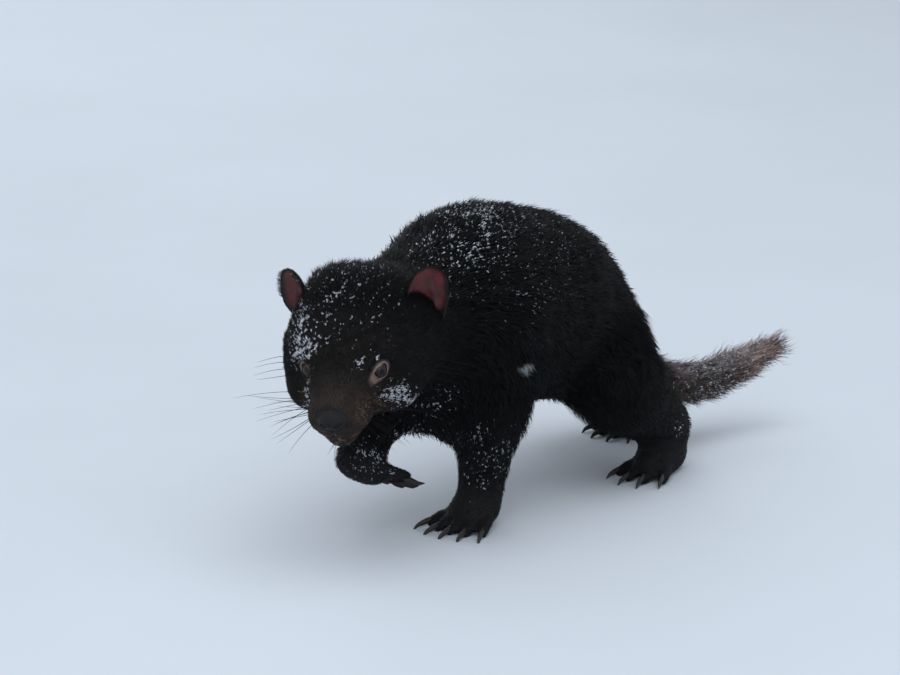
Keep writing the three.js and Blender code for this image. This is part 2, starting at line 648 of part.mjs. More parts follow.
// Tail: a core under flat tapered locks that overlap towards the tip
const sway = (i) => {
  const x = Math.sin(i * 12.9898) * 43758.5453;
  return x - Math.floor(x);
};
let tail = solid(spike(corePoints, V(0, 1, 0), coreRadii, coreRadii, 8));
const LOCK_ROWS = 7;
const LOCKS_AROUND = 6;
for (let row = 0; row < LOCK_ROWS; row++)
  for (let n = 0; n < LOCKS_AROUND; n++) {
    const id = row * LOCKS_AROUND + n;
    const t = lerp(0.3, 0.9, (row + 0.6 * sway(id)) / (LOCK_ROWS - 1));
    const root = tailCurve.getPoint(t);
    const along = tailCurve.getTangent(t);
    const angle = ((n + 0.5 * (row % 2) + 0.35 * (sway(id + 90) - 0.5)) * 2 * Math.PI) / LOCKS_AROUND;
    const sideways = V(0, 0, 1).cross(along).normalize();
    const out = sideways.clone().multiplyScalar(Math.cos(angle));
    out.addScaledVector(along.clone().cross(sideways), Math.sin(angle));
    const core = coreRadius(t);
    const long = lerp(36, 48, sway(id + 7));
    const lift = lerp(9, 12, sway(id + 3)) * lerp(1, 1.1, t);
    const points = [0, 0.3, 0.68, 1].map((d, k) => {
      const height = core * 0.5 + lift * [0, 0.66, 0.98, 1][k];
      return root.clone().addScaledVector(along, long * d).addScaledVector(out, height);
    });
    const w = lerp(6.2, 8.2, sway(id + 31));
    const lock = spike(points, along.clone().cross(out), [w * 0.8, w, w * 0.66, 0], [2.8, 2.3, 1.3, 0], 3);
    tail = tail.add(solid(lock));
  }
add("tail", tail.intersect(ahead([TAIL_CUT])), BROWN_COAT);

const devil = new THREE.Group();
devil.add(...meshes);
const box = new THREE.Box3().setFromObject(devil);
devil.position.set(-(box.min.x + box.max.x) / 2, -(box.min.y + box.max.y) / 2, -box.min.z);
export default devil;
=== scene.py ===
"""A Tasmanian devil at life size, walking with its right forepaw lifted."""

import math

import bmesh
import bpy
import numpy as np
from mathutils import Matrix, Vector
from mathutils.kdtree import KDTree


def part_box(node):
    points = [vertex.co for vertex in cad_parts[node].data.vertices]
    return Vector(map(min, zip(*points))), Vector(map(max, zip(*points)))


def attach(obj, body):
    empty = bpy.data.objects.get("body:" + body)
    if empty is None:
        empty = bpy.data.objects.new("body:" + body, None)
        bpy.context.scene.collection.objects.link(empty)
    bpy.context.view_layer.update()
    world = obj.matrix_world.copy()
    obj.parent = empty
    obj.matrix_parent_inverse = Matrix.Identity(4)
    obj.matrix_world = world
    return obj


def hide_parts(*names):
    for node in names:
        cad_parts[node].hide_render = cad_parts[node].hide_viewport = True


bl_info = {
    "name": "Tasmanian Devil",
    "version": (1, 0, 0),
    "blender": (4, 5, 0),
    "location": "View3D > Sidebar > Devil",
    "description": "Skin, coat, face and claws of a walking Tasmanian devil",
    "category": "Add Mesh",
}

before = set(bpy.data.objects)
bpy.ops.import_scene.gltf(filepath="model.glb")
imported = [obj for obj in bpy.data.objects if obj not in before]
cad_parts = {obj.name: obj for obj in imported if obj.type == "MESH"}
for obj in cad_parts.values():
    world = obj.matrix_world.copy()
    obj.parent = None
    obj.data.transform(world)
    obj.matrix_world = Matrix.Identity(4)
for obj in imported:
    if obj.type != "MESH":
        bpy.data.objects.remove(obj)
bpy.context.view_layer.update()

LEGS = ("left_foreleg", "right_foreleg", "left_hindleg", "right_hindleg")
PAWS = ("left_forepaw", "right_forepaw", "left_hindpaw", "right_hindpaw")
FLESH = ("head", "neck", "torso", *LEGS, *PAWS)
SIDES = (("left", 1.0), ("right", -1.0))


def box_centre(node):
    low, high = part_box(node)
    return (np.array(low) + np.array(high)) / 2


# Head frame: origin midway between the eyes, f to the nose, l to the left, u up.
YAW, PITCH, ROLL = (math.radians(a) for a in (23.0, 25.0, 4.5))
HEAD_F = np.array([math.cos(YAW) * math.cos(PITCH), math.sin(YAW) * math.cos(PITCH), -math.sin(PITCH)])
LEVEL = np.array([-math.sin(YAW), math.cos(YAW), 0.0])
HEAD_L = LEVEL * math.cos(ROLL) + np.cross(HEAD_F, LEVEL) * math.sin(ROLL)
HEAD_U = np.cross(HEAD_F, HEAD_L)
HEAD_AXES = np.array([HEAD_F, HEAD_L, HEAD_U])
NOSE_IN_HEAD = np.array([0.055, 0.0, -0.010])
HEAD_IN_BODY = np.array([0.286, 0.017, 0.186])
HEAD_AT = box_centre("nose") - NOSE_IN_HEAD @ HEAD_AXES
SHIFT = HEAD_AT - HEAD_IN_BODY  # from the body's own origin to the frame's
EYE_WAY = np.array([0.72, 0.62, 0.22])  # the way that the left eye looks, in the head frame


def from_head(points):
    """Points in millimetres in the head frame to the frame."""
    return HEAD_AT + points @ HEAD_AXES / 1000


def head_point(f, l, u):
    return from_head(np.array([f, l, u]))


def head_way(f, l, u):
    way = np.array([f, l, u], float) @ HEAD_AXES
    return way / np.linalg.norm(way)


def to_head(points):
    """Points in the frame to millimetres in the head frame."""
    return (points - HEAD_AT) @ HEAD_AXES.T * 1000


def placed(*points):
    """Points in millimetres from the body's own origin to the frame."""
    return np.array(points, float) / 1000 + SHIFT


# Bones that the coat follows: each limb from its top, over its bend, to its end.
BONES = {
    "left_foreleg": placed((98, 46, 200), (104, 40, 118), (98, 27, 38)),
    "right_foreleg": placed((98, -46, 200), (112, -58, 124), (203, -38, 78)),
    "left_hindleg": placed((-84, 36, 132), (-70, 58, 104), (-151, 60, 46)),
    "right_hindleg": placed((-88, -34, 132), (-134, -52, 98), (-256, -46, 46)),
}
PAW_WAYS = {
    "left_forepaw": (0.98, 0.02, -0.1),
    "right_forepaw": (-0.74, 0.17, -0.65),
    "left_hindpaw": (0.99, 0.08, -0.06),
    "right_hindpaw": (0.99, -0.06, -0.08),
}
# The tail's middle line from root to tip, and the radii of its core there.
TAIL = placed((-120, 0, 120), (-162, 4, 90), (-207, 13, 69), (-256, 27, 61), (-307, 41, 70), (-348, 52, 82))
TAIL_CORE = np.array([30, 20, 15.5, 13, 10, 4]) / 1000
# The left half of the mouth's line in the head frame, from its corner to the middle.
MOUTH = [(-8, 37, -29), (8, 30, -31), (26, 23, -31), (42, 16, -31), (53, 8, -31), (58, 0, -29)]
MOUTH = np.array(MOUTH, float)


# ---------------------------------------------------------------- sums over arrays
def unit(v):
    return v / np.maximum(np.linalg.norm(v, axis=-1, keepdims=True), 1e-12)


def smooth(low, high, x):
    t = np.clip((x - low) / (high - low), 0, 1)
    return t * t * (3 - 2 * t)


def bell(x):
    """1 at zero, falling off smoothly to both sides."""
    return np.exp(-(x**2))


def tree_of(points):
    """A search tree for the point nearest to a place."""
    tree = KDTree(len(points))
    for i, p in enumerate(points):
        tree.insert(p, i)
    tree.balance()
    return tree


def curve(points, t):
    """Points on a smooth curve through all of points, with t from 0 to 1."""
    p = np.vstack([2 * points[0] - points[1], points, 2 * points[-1] - points[-2]])
    x = np.clip(np.asarray(t, float), 0, 1) * (len(points) - 1)
    i = np.minimum(x.astype(int), len(points) - 2)
    s = (x - i)[..., None]
    a, b, c, d = p[i], p[i + 1], p[i + 2], p[i + 3]
    square, cube = 2 * a - 5 * b + 4 * c - d, 3 * b - a - 3 * c + d
    return 0.5 * (2 * b + (c - a) * s + square * s**2 + cube * s**3)


def relax(values, edges, count, rounds, keep=None, strength=0.6):
    """Averages per-point values with their neighbours' along the edges."""
    values = values.copy()
    flat = values.reshape(count, -1)
    degree = np.maximum(np.bincount(edges.ravel(), minlength=count), 1)[:, None]
    share = np.full((count, 1), strength) if keep is None else strength * (1 - keep.reshape(count, 1))
    for _ in range(rounds):
        total = np.empty_like(flat)
        for c in range(flat.shape[1]):
            total[:, c] = np.bincount(edges[:, 0], flat[edges[:, 1], c], count)
            total[:, c] += np.bincount(edges[:, 1], flat[edges[:, 0], c], count)
        flat += (total / degree - flat) * share
    return flat.reshape(values.shape)


def waves(points, size, seed, octaves=3):
    """Soft noise from summed sine waves, about -1 to 1, with features of a given size in metres."""
    rng = np.random.default_rng(seed)
    total = np.zeros(len(points))
    for octave in range(octaves):
        k = 2 * math.pi / (size / 2**octave)
        for _ in range(5):
            way = unit(rng.normal(size=3))
            total += np.sin(points @ way * k * rng.uniform(0.7, 1.3) + rng.uniform(0, 6.28)) / 1.7**octave
    return total / 3.2


# ---------------------------------------------------------------- meshes
def new_object(name, vertices, faces):
    mesh = bpy.data.meshes.new(name)
    mesh.from_pydata([tuple(v) for v in vertices], [], [tuple(f) for f in faces])
    mesh.update()
    obj = bpy.data.objects.new(name, mesh)
    bpy.context.scene.collection.objects.link(obj)
    return obj


def select_only(*objects):
    bpy.ops.object.select_all(action="DESELECT")
    for obj in objects:
        obj.select_set(True)
    bpy.context.view_layer.objects.active = objects[0]


def named(name):
    """Names the active object, which a primitive operator has just added."""
    obj = bpy.context.object
    obj.name = obj.data.name = name
    return obj


def copy_node(node, name):
    """A merged copy of a solid's mesh, which stays free to be shaped."""
    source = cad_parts[node]
    obj = source.copy()
    obj.data = source.data.copy()
    obj.name = obj.data.name = name
    obj.parent = None
    obj.matrix_world = Matrix.Identity(4)
    obj.data.materials.clear()
    bpy.context.scene.collection.objects.link(obj)
    bm = bmesh.new()
    bm.from_mesh(obj.data)
    bmesh.ops.remove_doubles(bm, verts=bm.verts, dist=1e-6)
    bm.to_mesh(obj.data)
    bm.free()
    return obj


def read_points(mesh):
    co = np.empty(len(mesh.vertices) * 3, np.float32)
    mesh.vertices.foreach_get("co", co)
    return co.reshape(-1, 3).astype(float)


def write_points(mesh, co):
    mesh.vertices.foreach_set("co", co.astype(np.float32).ravel())
    mesh.update()


def read_normals(mesh):
    n = np.empty(len(mesh.vertices) * 3, np.float32)
    mesh.vertex_normals.foreach_get("vector", n)
    return n.reshape(-1, 3).astype(float)


def read_edges(mesh):
    e = np.empty(len(mesh.edges) * 2, np.int32)
    mesh.edges.foreach_get("vertices", e)
    return e.reshape(-1, 2)


def push_out(obj, distance):
    co = read_points(obj.data)
    write_points(obj.data, co + read_normals(obj.data) * distance)


def apply_modifier(obj, kind, name, **settings):
    modifier = obj.modifiers.new(name, kind)
    for key, value in settings.items():
        setattr(modifier, key, value)
    select_only(obj)
    bpy.ops.object.modifier_apply(modifier=name)


def keep_largest(obj):
    """Deletes every loose part of a mesh but its largest."""
    bm = bmesh.new()
    bm.from_mesh(obj.data)
    left, parts = set(bm.verts), []
    while left:
        stack, part = [left.pop()], []
        while stack:
            vertex = stack.pop()
            part.append(vertex)
            for edge in vertex.link_edges:
                other = edge.other_vert(vertex)
                if other in left:
                    left.remove(other)
                    stack.append(other)
        parts.append(part)
    parts.sort(key=len)
    for part in parts[:-1]:
        bmesh.ops.delete(bm, geom=part, context="VERTS")
    bm.to_mesh(obj.data)
    bm.free()


def join(name, objects):
    select_only(*objects)
    bpy.ops.object.join()
    obj = bpy.context.object
    obj.name = obj.data.name = name
    return obj


def face_outwards(obj, *more):
    """Points every face of a closed mesh outwards, and runs any other step on the whole mesh."""
    select_only(obj)
    bpy.ops.object.mode_set(mode="EDIT")
    bpy.ops.mesh.select_all(action="SELECT")
    bpy.ops.mesh.normals_make_consistent(inside=False)
    for step in more:
        step()
    bpy.ops.object.mode_set(mode="OBJECT")


def write_attribute(mesh, name, values):
    layer = mesh.attributes.new(name, "FLOAT", "POINT")
    layer.data.foreach_set("value", values.astype(np.float32))


def settle(obj, material, nodes=()):
    """Gives a finished piece its material, its body and the solids that it stands for."""
    obj.data.materials.clear()
    obj.data.materials.append(material)
    obj.data.shade_smooth()
    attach(obj, "root")
    if nodes:
        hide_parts(*nodes)
    return obj


def tube_mesh(paths, radii, sides):
    """Joined closed tubes along paths (tubes, rings, 3), with radii (tubes, rings) and a point at the end."""
    paths = np.asarray(paths, float)
    radii = np.asarray(radii, float)
    count, rings, _ = paths.shape
    along = unit(np.gradient(paths, axis=1))
    guide = np.where(np.abs(along[:, :1, 2:3]) < 0.9, [[[0.0, 0.0, 1.0]]], [[[1.0, 0.0, 0.0]]])
    wide = unit(np.cross(guide, along))
    thick = np.cross(along, wide)
    a = np.arange(sides) * 2 * math.pi / sides
    ring = wide[:, :-1, None] * np.cos(a)[:, None] + thick[:, :-1, None] * np.sin(a)[:, None]
    body = paths[:, :-1, None] + ring * radii[:, :-1, None, None]
    points = np.concatenate([body.reshape(count, -1, 3), paths[:, -1:]], axis=1)
    faces = [tuple(range(sides - 1, -1, -1))]
    for r in range(rings - 2):
        for s in range(sides):
            t = (s + 1) % sides
            faces.append((r * sides + s, r * sides + t, (r + 1) * sides + t, (r + 1) * sides + s))
    last = (rings - 2) * sides
    for s in range(sides):
        faces.append((last + s, last + (s + 1) % sides, (rings - 1) * sides))
    each = points.shape[1]
    return points.reshape(-1, 3), [tuple(i * each + v for v in f) for i in range(count) for f in faces]


# ---------------------------------------------------------------- materials
def material(name):
    made = bpy.data.materials.new(name)
    made.use_nodes = True
    nodes = made.node_tree.nodes
    return made, made.node_tree, nodes["Principled BSDF"]


def plug(tree, target, inputs):
    """Links each named socket of a node to another node's output, or fills in its value."""
    for key, value in inputs.items():
        if isinstance(value, bpy.types.NodeSocket):
            tree.links.new(value, target.inputs[key])
        else:
            target.inputs[key].default_value = value


def node(tree, kind, inputs=None, **settings):
    made = tree.nodes.new(kind)
    for key, value in settings.items():
        setattr(made, key, value)
    plug(tree, made, inputs or {})
    return made


def object_place(tree):
    return node(tree, "ShaderNodeTexCoord").outputs["Object"]


def attribute(tree, name):
    return node(tree, "ShaderNodeAttribute", attribute_name=name).outputs["Fac"]


def blend_colour(tree, factor, a, b):
    return node(tree, "ShaderNodeMix", {0: factor, 6: a, 7: b}, data_type="RGBA").outputs[2]


def maths(tree, operation, a, b=0.0, clamp=False):
    return node(tree, "ShaderNodeMath", {0: a, 1: b}, operation=operation, use_clamp=clamp).outputs[0]


def times(tree, a, b):
    return maths(tree, "MULTIPLY", a, b)


def vectors(tree, operation, a, b):
    return node(tree, "ShaderNodeVectorMath", {0: a, 1: b}, operation=operation).outputs[0]


def length_of(tree, vector):
    return node(tree, "ShaderNodeVectorMath", {0: vector}, operation="LENGTH").outputs["Value"]


def near_spot(tree, place, centre, radii, edge=0.5):
    """A mask that is 1 inside an ellipsoid spot and falls to 0 at its rim."""
    sized = vectors(tree, "DIVIDE", vectors(tree, "SUBTRACT", place, tuple(centre)), tuple(radii))
    spread = {"Value": length_of(tree, sized), "From Min": 1.0, "From Max": edge}
    return node(tree, "ShaderNodeMapRange", spread, interpolation_type="SMOOTHSTEP").outputs[0]


def noise(tree, place, scale, detail=3.0, roughness=0.55):
    values = {"Vector": place, "Scale": scale, "Detail": detail, "Roughness": roughness}
    return node(tree, "ShaderNodeTexNoise", values).outputs["Fac"]


def cells(tree, place, scale, feature="F1"):
    return node(tree, "ShaderNodeTexVoronoi", {"Vector": place, "Scale": scale}, feature=feature).outputs[0]


def stretch(tree, value, low, high, at_low=0.0, at_high=1.0):
    """A value spread over a range, and held at the range's ends."""
    spread = {"Value": value, "From Min": low, "From Max": high, "To Min": at_low, "To Max": at_high}
    return node(tree, "ShaderNodeMapRange", spread).outputs[0]


def bump(tree, height, strength, distance):
    inputs = {"Height": height, "Strength": strength, "Distance": distance}
    return node(tree, "ShaderNodeBump", inputs).outputs[0]


def finish_shader(tree, shader, colour, rough, specular, normal=None, **more):
    """Fills in the sockets that every finish here has, and any others by name."""
    inputs = {"Base Color": colour, "Roughness": rough, "Specular IOR Level": specular}
    if normal is not None:
        inputs["Normal"] = normal
    plug(tree, shader, inputs | more)


def rgb(colour):
    return (*tuple(colour)[:3], 1.0)


def coat_colour_group(look):
    """Markings shared by the skin and every tuft: black body, brown face, ruddy tail, the pale flank mark."""
    tree = bpy.data.node_groups.new("Devil coat colour", "ShaderNodeTree")
    tree.interface.new_socket("Place", in_out="INPUT", socket_type="NodeSocketVector")
    tree.interface.new_socket("Colour", in_out="OUTPUT", socket_type="NodeSocketColor")
    tree.interface.new_socket("Bare", in_out="OUTPUT", socket_type="NodeSocketFloat")
    place = tree.nodes.new("NodeGroupInput").outputs["Place"]
    leave = tree.nodes.new("NodeGroupOutput")

    def spot(centre, radii, edge):
        return near_spot(tree, place, centre, radii, edge)

    def speckle(scale, detail, low, high):
        return stretch(tree, noise(tree, place, scale, detail), low, high)

    def paint(under, mask, amount, tint):
        return blend_colour(tree, times(tree, mask, amount), under, rgb(tint))

    # Body and face.
    colour = blend_colour(tree, speckle(22.0, 3.0, 0.3, 0.75), rgb(look.black), rgb(look.black_light))
    colour = paint(colour, spot(head_point(-20, 0, -10), (0.090, 0.090, 0.070), 0.3), 0.8, look.brow)
    colour = paint(colour, spot(head_point(32, 0, -24), (0.068, 0.062, 0.050), 0.4), 1.0, look.muzzle)
    blotch = speckle(210.0, 4.0, 0.50, 0.60)
    lips = times(tree, spot(head_point(42, 0, -38), (0.042, 0.038, 0.022), 0.4), blotch)
    colour = paint(colour, lips, 1.0, look.lip)
    left, right = (spot(head_point(28, s * 29, -20), (0.030, 0.024, 0.020), 0.35) for _, s in SIDES)
    pads = maths(tree, "ADD", left, right, True)
    colour = paint(colour, pads, times(tree, blotch, 0.6), look.lip)
    dots = times(tree, pads, stretch(tree, cells(tree, place, 270.0), 0.30, 0.16))
    colour = paint(colour, dots, 0.75, look.root_dot)
    snout = spot(head_point(54, 0, -10), (0.0152, 0.0164, 0.0134), 0.82)
    colour = paint(colour, snout, 1.0, [c * 1.6 for c in look.nose])
    bare = lips
    for side, s in SIDES:
        corner = spot(bare_corner(side, s), (0.0075, 0.0075, 0.0075), 0.25)
        colour = paint(colour, corner, 0.75, look.lid)
        bare = maths(tree, "MAXIMUM", bare, corner)

    # Tail: ruddy bristles, with a painted grey sheen streaked along the top, paler at the tip.
    last = TAIL[4] - TAIL[3]
    tail = spot(TAIL[4] + last * 0.1, (0.135, 0.09, 0.08), 0.72)
    streak = speckle(120.0, 4.0, 0.35, 0.7)
    brown = blend_colour(tree, streak, rgb(look.tail_dark), rgb(look.tail))
    # Painted sheen: grey streaks drawn along the hair on the top of the tail.
    top = spot(TAIL[3] + last * 0.3 + np.array([0, 0.014, 0.034]), (0.125, 0.07, 0.038), 0.35)
    drawn = vectors(tree, "MULTIPLY", place, (90.0, 260.0, 330.0))
    painted_top_sheen = times(tree, top, stretch(tree, noise(tree, drawn, 1.0), 0.38, 0.62))
    brown = paint(brown, painted_top_sheen, 0.9, look.tail_top_sheen)
    brown = paint(brown, spot(TAIL[5], (0.085, 0.06, 0.055), 0.35), streak, look.tail_tip)
    colour = blend_colour(tree, tail, colour, brown)

    # The flank mark: a frayed patch with a bite out of it.
    frayed = vectors(tree, "MULTIPLY", noise(tree, place, 140.0), (0.006, 0.004, 0.006))
    torn = vectors(tree, "ADD", place, frayed)
    whole = near_spot(tree, torn, placed((110, 89, 163))[0], (0.0115, 0.02, 0.0075), 0.25)
    bite = near_spot(tree, torn, placed((119, 89, 159))[0], (0.0085, 0.02, 0.0055), 0.3)
    mark = times(tree, whole, maths(tree, "SUBTRACT", 1.0, bite))
    plug(tree, leave, {"Colour": paint(colour, mark, 0.85, look.flank_mark), "Bare": bare})
    return tree


def marked(tree, group):
    return node(tree, "ShaderNodeGroup", {"Place": object_place(tree)}, node_tree=group)


def skin_material(group):
    made, tree, shader = material("Devil skin")
    used = marked(tree, group)
    place = object_place(tree)
    rough = stretch(tree, used.outputs["Bare"], 0.0, 1.0, 0.75, 0.48)
    pores = cells(tree, place, 900.0, "SMOOTH_F1")
    height = maths(tree, "ADD", pores, noise(tree, place, 420.0, 5.0, 0.65))
    finish_shader(tree, shader, used.outputs["Colour"], rough, 0.22, bump(tree, height, 0.55, 0.0006))
    return made


def coat_material(group, look):
    """The markings, with painted shade at each tuft's root and painted light at its tip, and flecked with
    pale grains.
    """
    made, tree, shader = material("Devil coat")
    used = marked(tree, group)
    place = object_place(tree)
    frost = attribute(tree, "frost")
    light = stretch(tree, attribute(tree, "shade"), 0.0, 1.0, 0.55, 1.5)
    # Painted shade and light: each tuft's colour is scaled darker at its root, down in the coat, and lighter
    # at its tip.
    tips = stretch(tree, attribute(tree, "along"), 0.0, 1.0, 0.7, 1.25)
    inputs = {0: used.outputs["Colour"], "Scale": times(tree, light, tips)}
    scaled = node(tree, "ShaderNodeVectorMath", inputs, operation="SCALE").outputs[0]
    grains = node(tree, "ShaderNodeTexNoise", {"Vector": place, "Scale": 300.0, "Detail": 1.5}).outputs["Fac"]
    clumps = maths(tree, "SUBTRACT", noise(tree, place, 125.0, 2.0), 0.5)
    gathered = times(tree, frost, maths(tree, "ADD", 0.27, times(tree, clumps, 0.9)))
    fleck = stretch(tree, maths(tree, "ADD", grains, gathered), 0.70, 0.74)
    fleck = times(tree, fleck, stretch(tree, frost, 0.0, 0.06))
    finish_shader(tree, shader, blend_colour(tree, fleck, scaled, rgb(look.frost)), 0.62, 0.12)
    return made


# ---------------------------------------------------------------- values that a user may change
class DevilLook(bpy.types.PropertyGroup):
    """Colours of the coat and the bare parts"""

    def tint(name, description, default):
        return bpy.props.FloatVectorProperty(
            name=name, description=description, subtype="COLOR", size=3, min=0.0, max=1.0, default=default
        )

    black: tint("Black coat", "Darkest colour of the body's coat", (0.0030, 0.0031, 0.0040))
    black_light: tint("Black coat, lighter", "Lighter patches in the body's coat", (0.0060, 0.0060, 0.0068))
    brow: tint("Cheeks and brow", "Colour of the face's short coat", (0.0085, 0.0074, 0.0068))
    muzzle: tint("Muzzle", "Colour of the muzzle", (0.027, 0.0205, 0.0165))
    lip: tint("Lips", "Mottled colour of the lips and whisker pads", (0.105, 0.064, 0.048))
    root_dot: tint("Whisker roots", "Pale dots at the roots of the whiskers", (0.20, 0.145, 0.115))
    lid: tint("Lids", "Bare skin of the lids and the eye's inner corner", (0.185, 0.125, 0.108))
    tail_dark: tint("Tail, shaded", "Darker colour of the tail's bristles", (0.024, 0.018, 0.016))
    tail: tint("Tail", "Colour of the tail's bristles", (0.100, 0.078, 0.070))
    tail_tip: tint("Tail tip", "Colour of the tail's tip", (0.36, 0.245, 0.20))
    # Colour of the painted sheen on the top of the tail.
    tail_top_sheen: tint("Tail, grizzled", "Grey streaks on the top of the tail", (0.37, 0.34, 0.352))
    flank_mark: tint("Flank mark", "Pale mark behind the shoulder", (0.30, 0.33, 0.33))
    frost: tint("Pale tips", "Colour of the frosted hair tips", (0.62, 0.66, 0.72))
    ear: tint("Ear skin", "Bare skin in the cup of the ear", (0.140, 0.028, 0.031))
    nose: tint("Nose pad", "Colour of the nose pad", (0.0065, 0.0065, 0.0070))
    eye: tint("Iris", "Colour of the iris", (0.010, 0.006, 0.005))
    claw: tint("Claws", "Colour of the claws", (0.030, 0.026, 0.024))
    floor: tint("Floor", "Colour of the floor", (0.56, 0.60, 0.652))

    del tint


class DevilSize(bpy.types.PropertyGroup):
    """Sizes of the coat, the eyes and the whiskers"""

    def length(name, description, default):
        return bpy.props.FloatProperty(
            name=name, description=description, subtype="DISTANCE", min=0.0, default=default
        )

    body_hair: length("Body hair", "Length of a tuft on the back and flanks", 0.021)
    face_hair: length("Face hair", "Length of a tuft on the muzzle", 0.0028)
    tail_hair: length("Tail hair", "Length of a bristle tuft on the tail", 0.030)
    body_depth: length("Coat depth", "How far the skin lies inside the coat on the body", 0.0092)
    eye_radius: length("Eye radius", "Radius of an eyeball", 0.0082)
    whisker: length("Whiskers", "Length of the longest whiskers", 0.075)
    voxel: length("Skin grain", "Cell of the skin's first mesh", 0.0027)
    tufts: bpy.props.IntProperty(name="Tufts", description="Tufts of the whole coat", default=132000, min=100)
    seed: bpy.props.IntProperty(name="Seed", description="Seed of every random draw", default=11)

    del length


def look():
    return bpy.context.scene.devil_look


def size():
    return bpy.context.scene.devil_size


def shared_group():
    return bpy.data.node_groups.get("Devil coat colour") or coat_colour_group(look())


# ---------------------------------------------------------------- skin
def tail_core():
    t = np.linspace(0, 1, 40)
    radii = np.interp(t * (len(TAIL_CORE) - 1), range(len(TAIL_CORE)), TAIL_CORE)
    vertices, faces = tube_mesh(curve(TAIL, t)[None], radii[None], 16)
    return new_object("tail_core", vertices, faces)


def nearest_parts(points):
    """The name of the flesh node that each point lies nearest to."""
    names, places = [], []
    for part in (*FLESH, "tail"):
        co = read_points(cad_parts[part].data)
        names += [part] * len(co)
        places.append(co)
    tree = tree_of(np.concatenate(places))
    return np.array(names)[[tree.find(p)[1] for p in points]]


def along_bone(points, bone):
    """How far down a limb each point lies, from 0 at its top over 1 at its bend to 2 at its end."""
    best = np.full(len(points), 1e9)
    out = np.zeros(len(points))
    way = np.zeros((len(points), 3))
    for i in range(len(bone) - 1):
        a, b = bone[i], bone[i + 1]
        t = np.clip((points - a) @ (b - a) / ((b - a) @ (b - a)), 0, 1)
        d = np.linalg.norm(points - a - t[:, None] * (b - a), axis=1)
        near = d < best
        best[near], out[near] = d[near], (i + t)[near]
        way[near] = unit(b - a)
    return out, way


def coat_fields(points, normals, edges):
    """For every skin point: its part, and the coat's lie, length and depth there."""
    part = nearest_parts(points)
    s = size()
    count = len(points)
    lie = np.tile([-0.93, 0.0, -0.36], (count, 1))
    length = np.full(count, s.body_hair)
    depth = np.full(count, s.body_depth)

    # Head: back from the nose and outwards, shortest on the muzzle.
    f, l, u = to_head(points).T
    face = smooth(-95, 45, f)
    head = part == "head"
    crown = head & (f < 10)
    outwards = 0.30 * np.sign(l[head]) * smooth(4, 40, np.abs(l[head]))
    lie[head] = -HEAD_F + outwards[:, None] * HEAD_L
    lie[crown] -= HEAD_U * (0.35 * smooth(10, -35, u[crown]))[:, None]
    length[head] = (s.body_hair + (s.face_hair - s.body_hair) * face**0.55)[head]
    depth[head] = (0.0080 + (0.0011 - 0.0080) * face**0.55)[head]
    depth[head] += (0.003 * smooth(25, 50, u) * smooth(-10, -45, f))[head]
    lie[part == "neck"] = [-0.9, -0.15, -0.40]

    # Limbs: down each bone, shorter to the paw.
    for leg, bone in BONES.items():
        mine = part == leg
        down, way = along_bone(points, bone)
        lie[mine] = way[mine]
        reach = smooth(0.6, 2.0, down)
        length[mine] = (0.019 - 0.0105 * reach)[mine]
        depth[mine] = (0.0080 - 0.0050 * reach)[mine]
        hip = (part == "torso") & (down < 0.95) & (np.abs(points[:, 1] - bone[0, 1]) < 0.06)
        near = hip * smooth(0.10, 0.05, np.linalg.norm(points - bone[0] * 0.4 - bone[1] * 0.6, axis=1))
        lie += near[:, None] * (way - lie) * 0.6
    for paw, way in PAW_WAYS.items():
        mine = part == paw
        lie[mine] = unit(np.array(way))
        length[mine] = 0.0042
        depth[mine] = 0.0012

    # Rump and tail.
    back = smooth(-0.03, -0.15, points[:, 0]) * (part == "torso")
    lie += back[:, None] * (np.array([-0.55, 0.0, -0.80]) - lie) * 0.7
    tail = part == "tail"
    t = np.linspace(0, 1, 60)
    spine = curve(TAIL, t)
    near = np.argmin(((points[tail][:, None] - spine) ** 2).sum(2), axis=1)
    lie[tail] = unit(np.gradient(spine, axis=0))[near]
    length[tail] = s.tail_hair * (0.78 + 0.22 * smooth(0, 0.6, t[near]))
    depth[tail] = 0.0
    depth = relax(depth, edges, count, 30)
    length = relax(length, edges, count, 22)
    lie = relax(unit(lie), edges, count, 40)
    lie = unit(lie - normals * (lie * normals).sum(1, keepdims=True))
    return part, lie, length, depth


def eye_frame(side, s):
    """Centre of an eye, with its axes: along the slit to the inner corner, across it, and outwards."""
    way = head_way(*EYE_WAY * [1, s, 1])
    slit = head_way(0.66, -s * 0.64, -0.38)
    slit = unit(slit - way * (slit @ way))
    centre = box_centre(f"{side}_eye") + HEAD_L * (0.0025 + s * 0.0005) + HEAD_U * 0.0008
    return centre, slit, np.cross(way, slit), way


def lip_line(points):
    """The line of the mouth laid on the surface through the given points, in the head frame."""
    tree = tree_of(points)
    half = curve(MOUTH, np.linspace(0, 1, 60))
    at = from_head(np.vstack([half, half * [1, -1, 1]]))
    return to_head(np.array([points[tree.find(p)[1]] for p in at]))


def distance_to(line, h, chosen):
    """The least distance from each chosen point to a line's points, and far for the rest."""
    near = np.full(len(h), 99.0)
    ids = np.flatnonzero(chosen)
    for part in np.array_split(ids, 24):
        near[part] = np.sqrt(((h[part][:, None] - line) ** 2).sum(2)).min(1)
    return near


def bare_corner(side, s):
    """Middle of the bare patch below the inner corner of an eye."""
    centre, slit, across, way = eye_frame(side, s)
    across = across * np.sign(across @ HEAD_U)
    return centre + slit * 0.0102 + across * 0.0004 + way * 0.0050


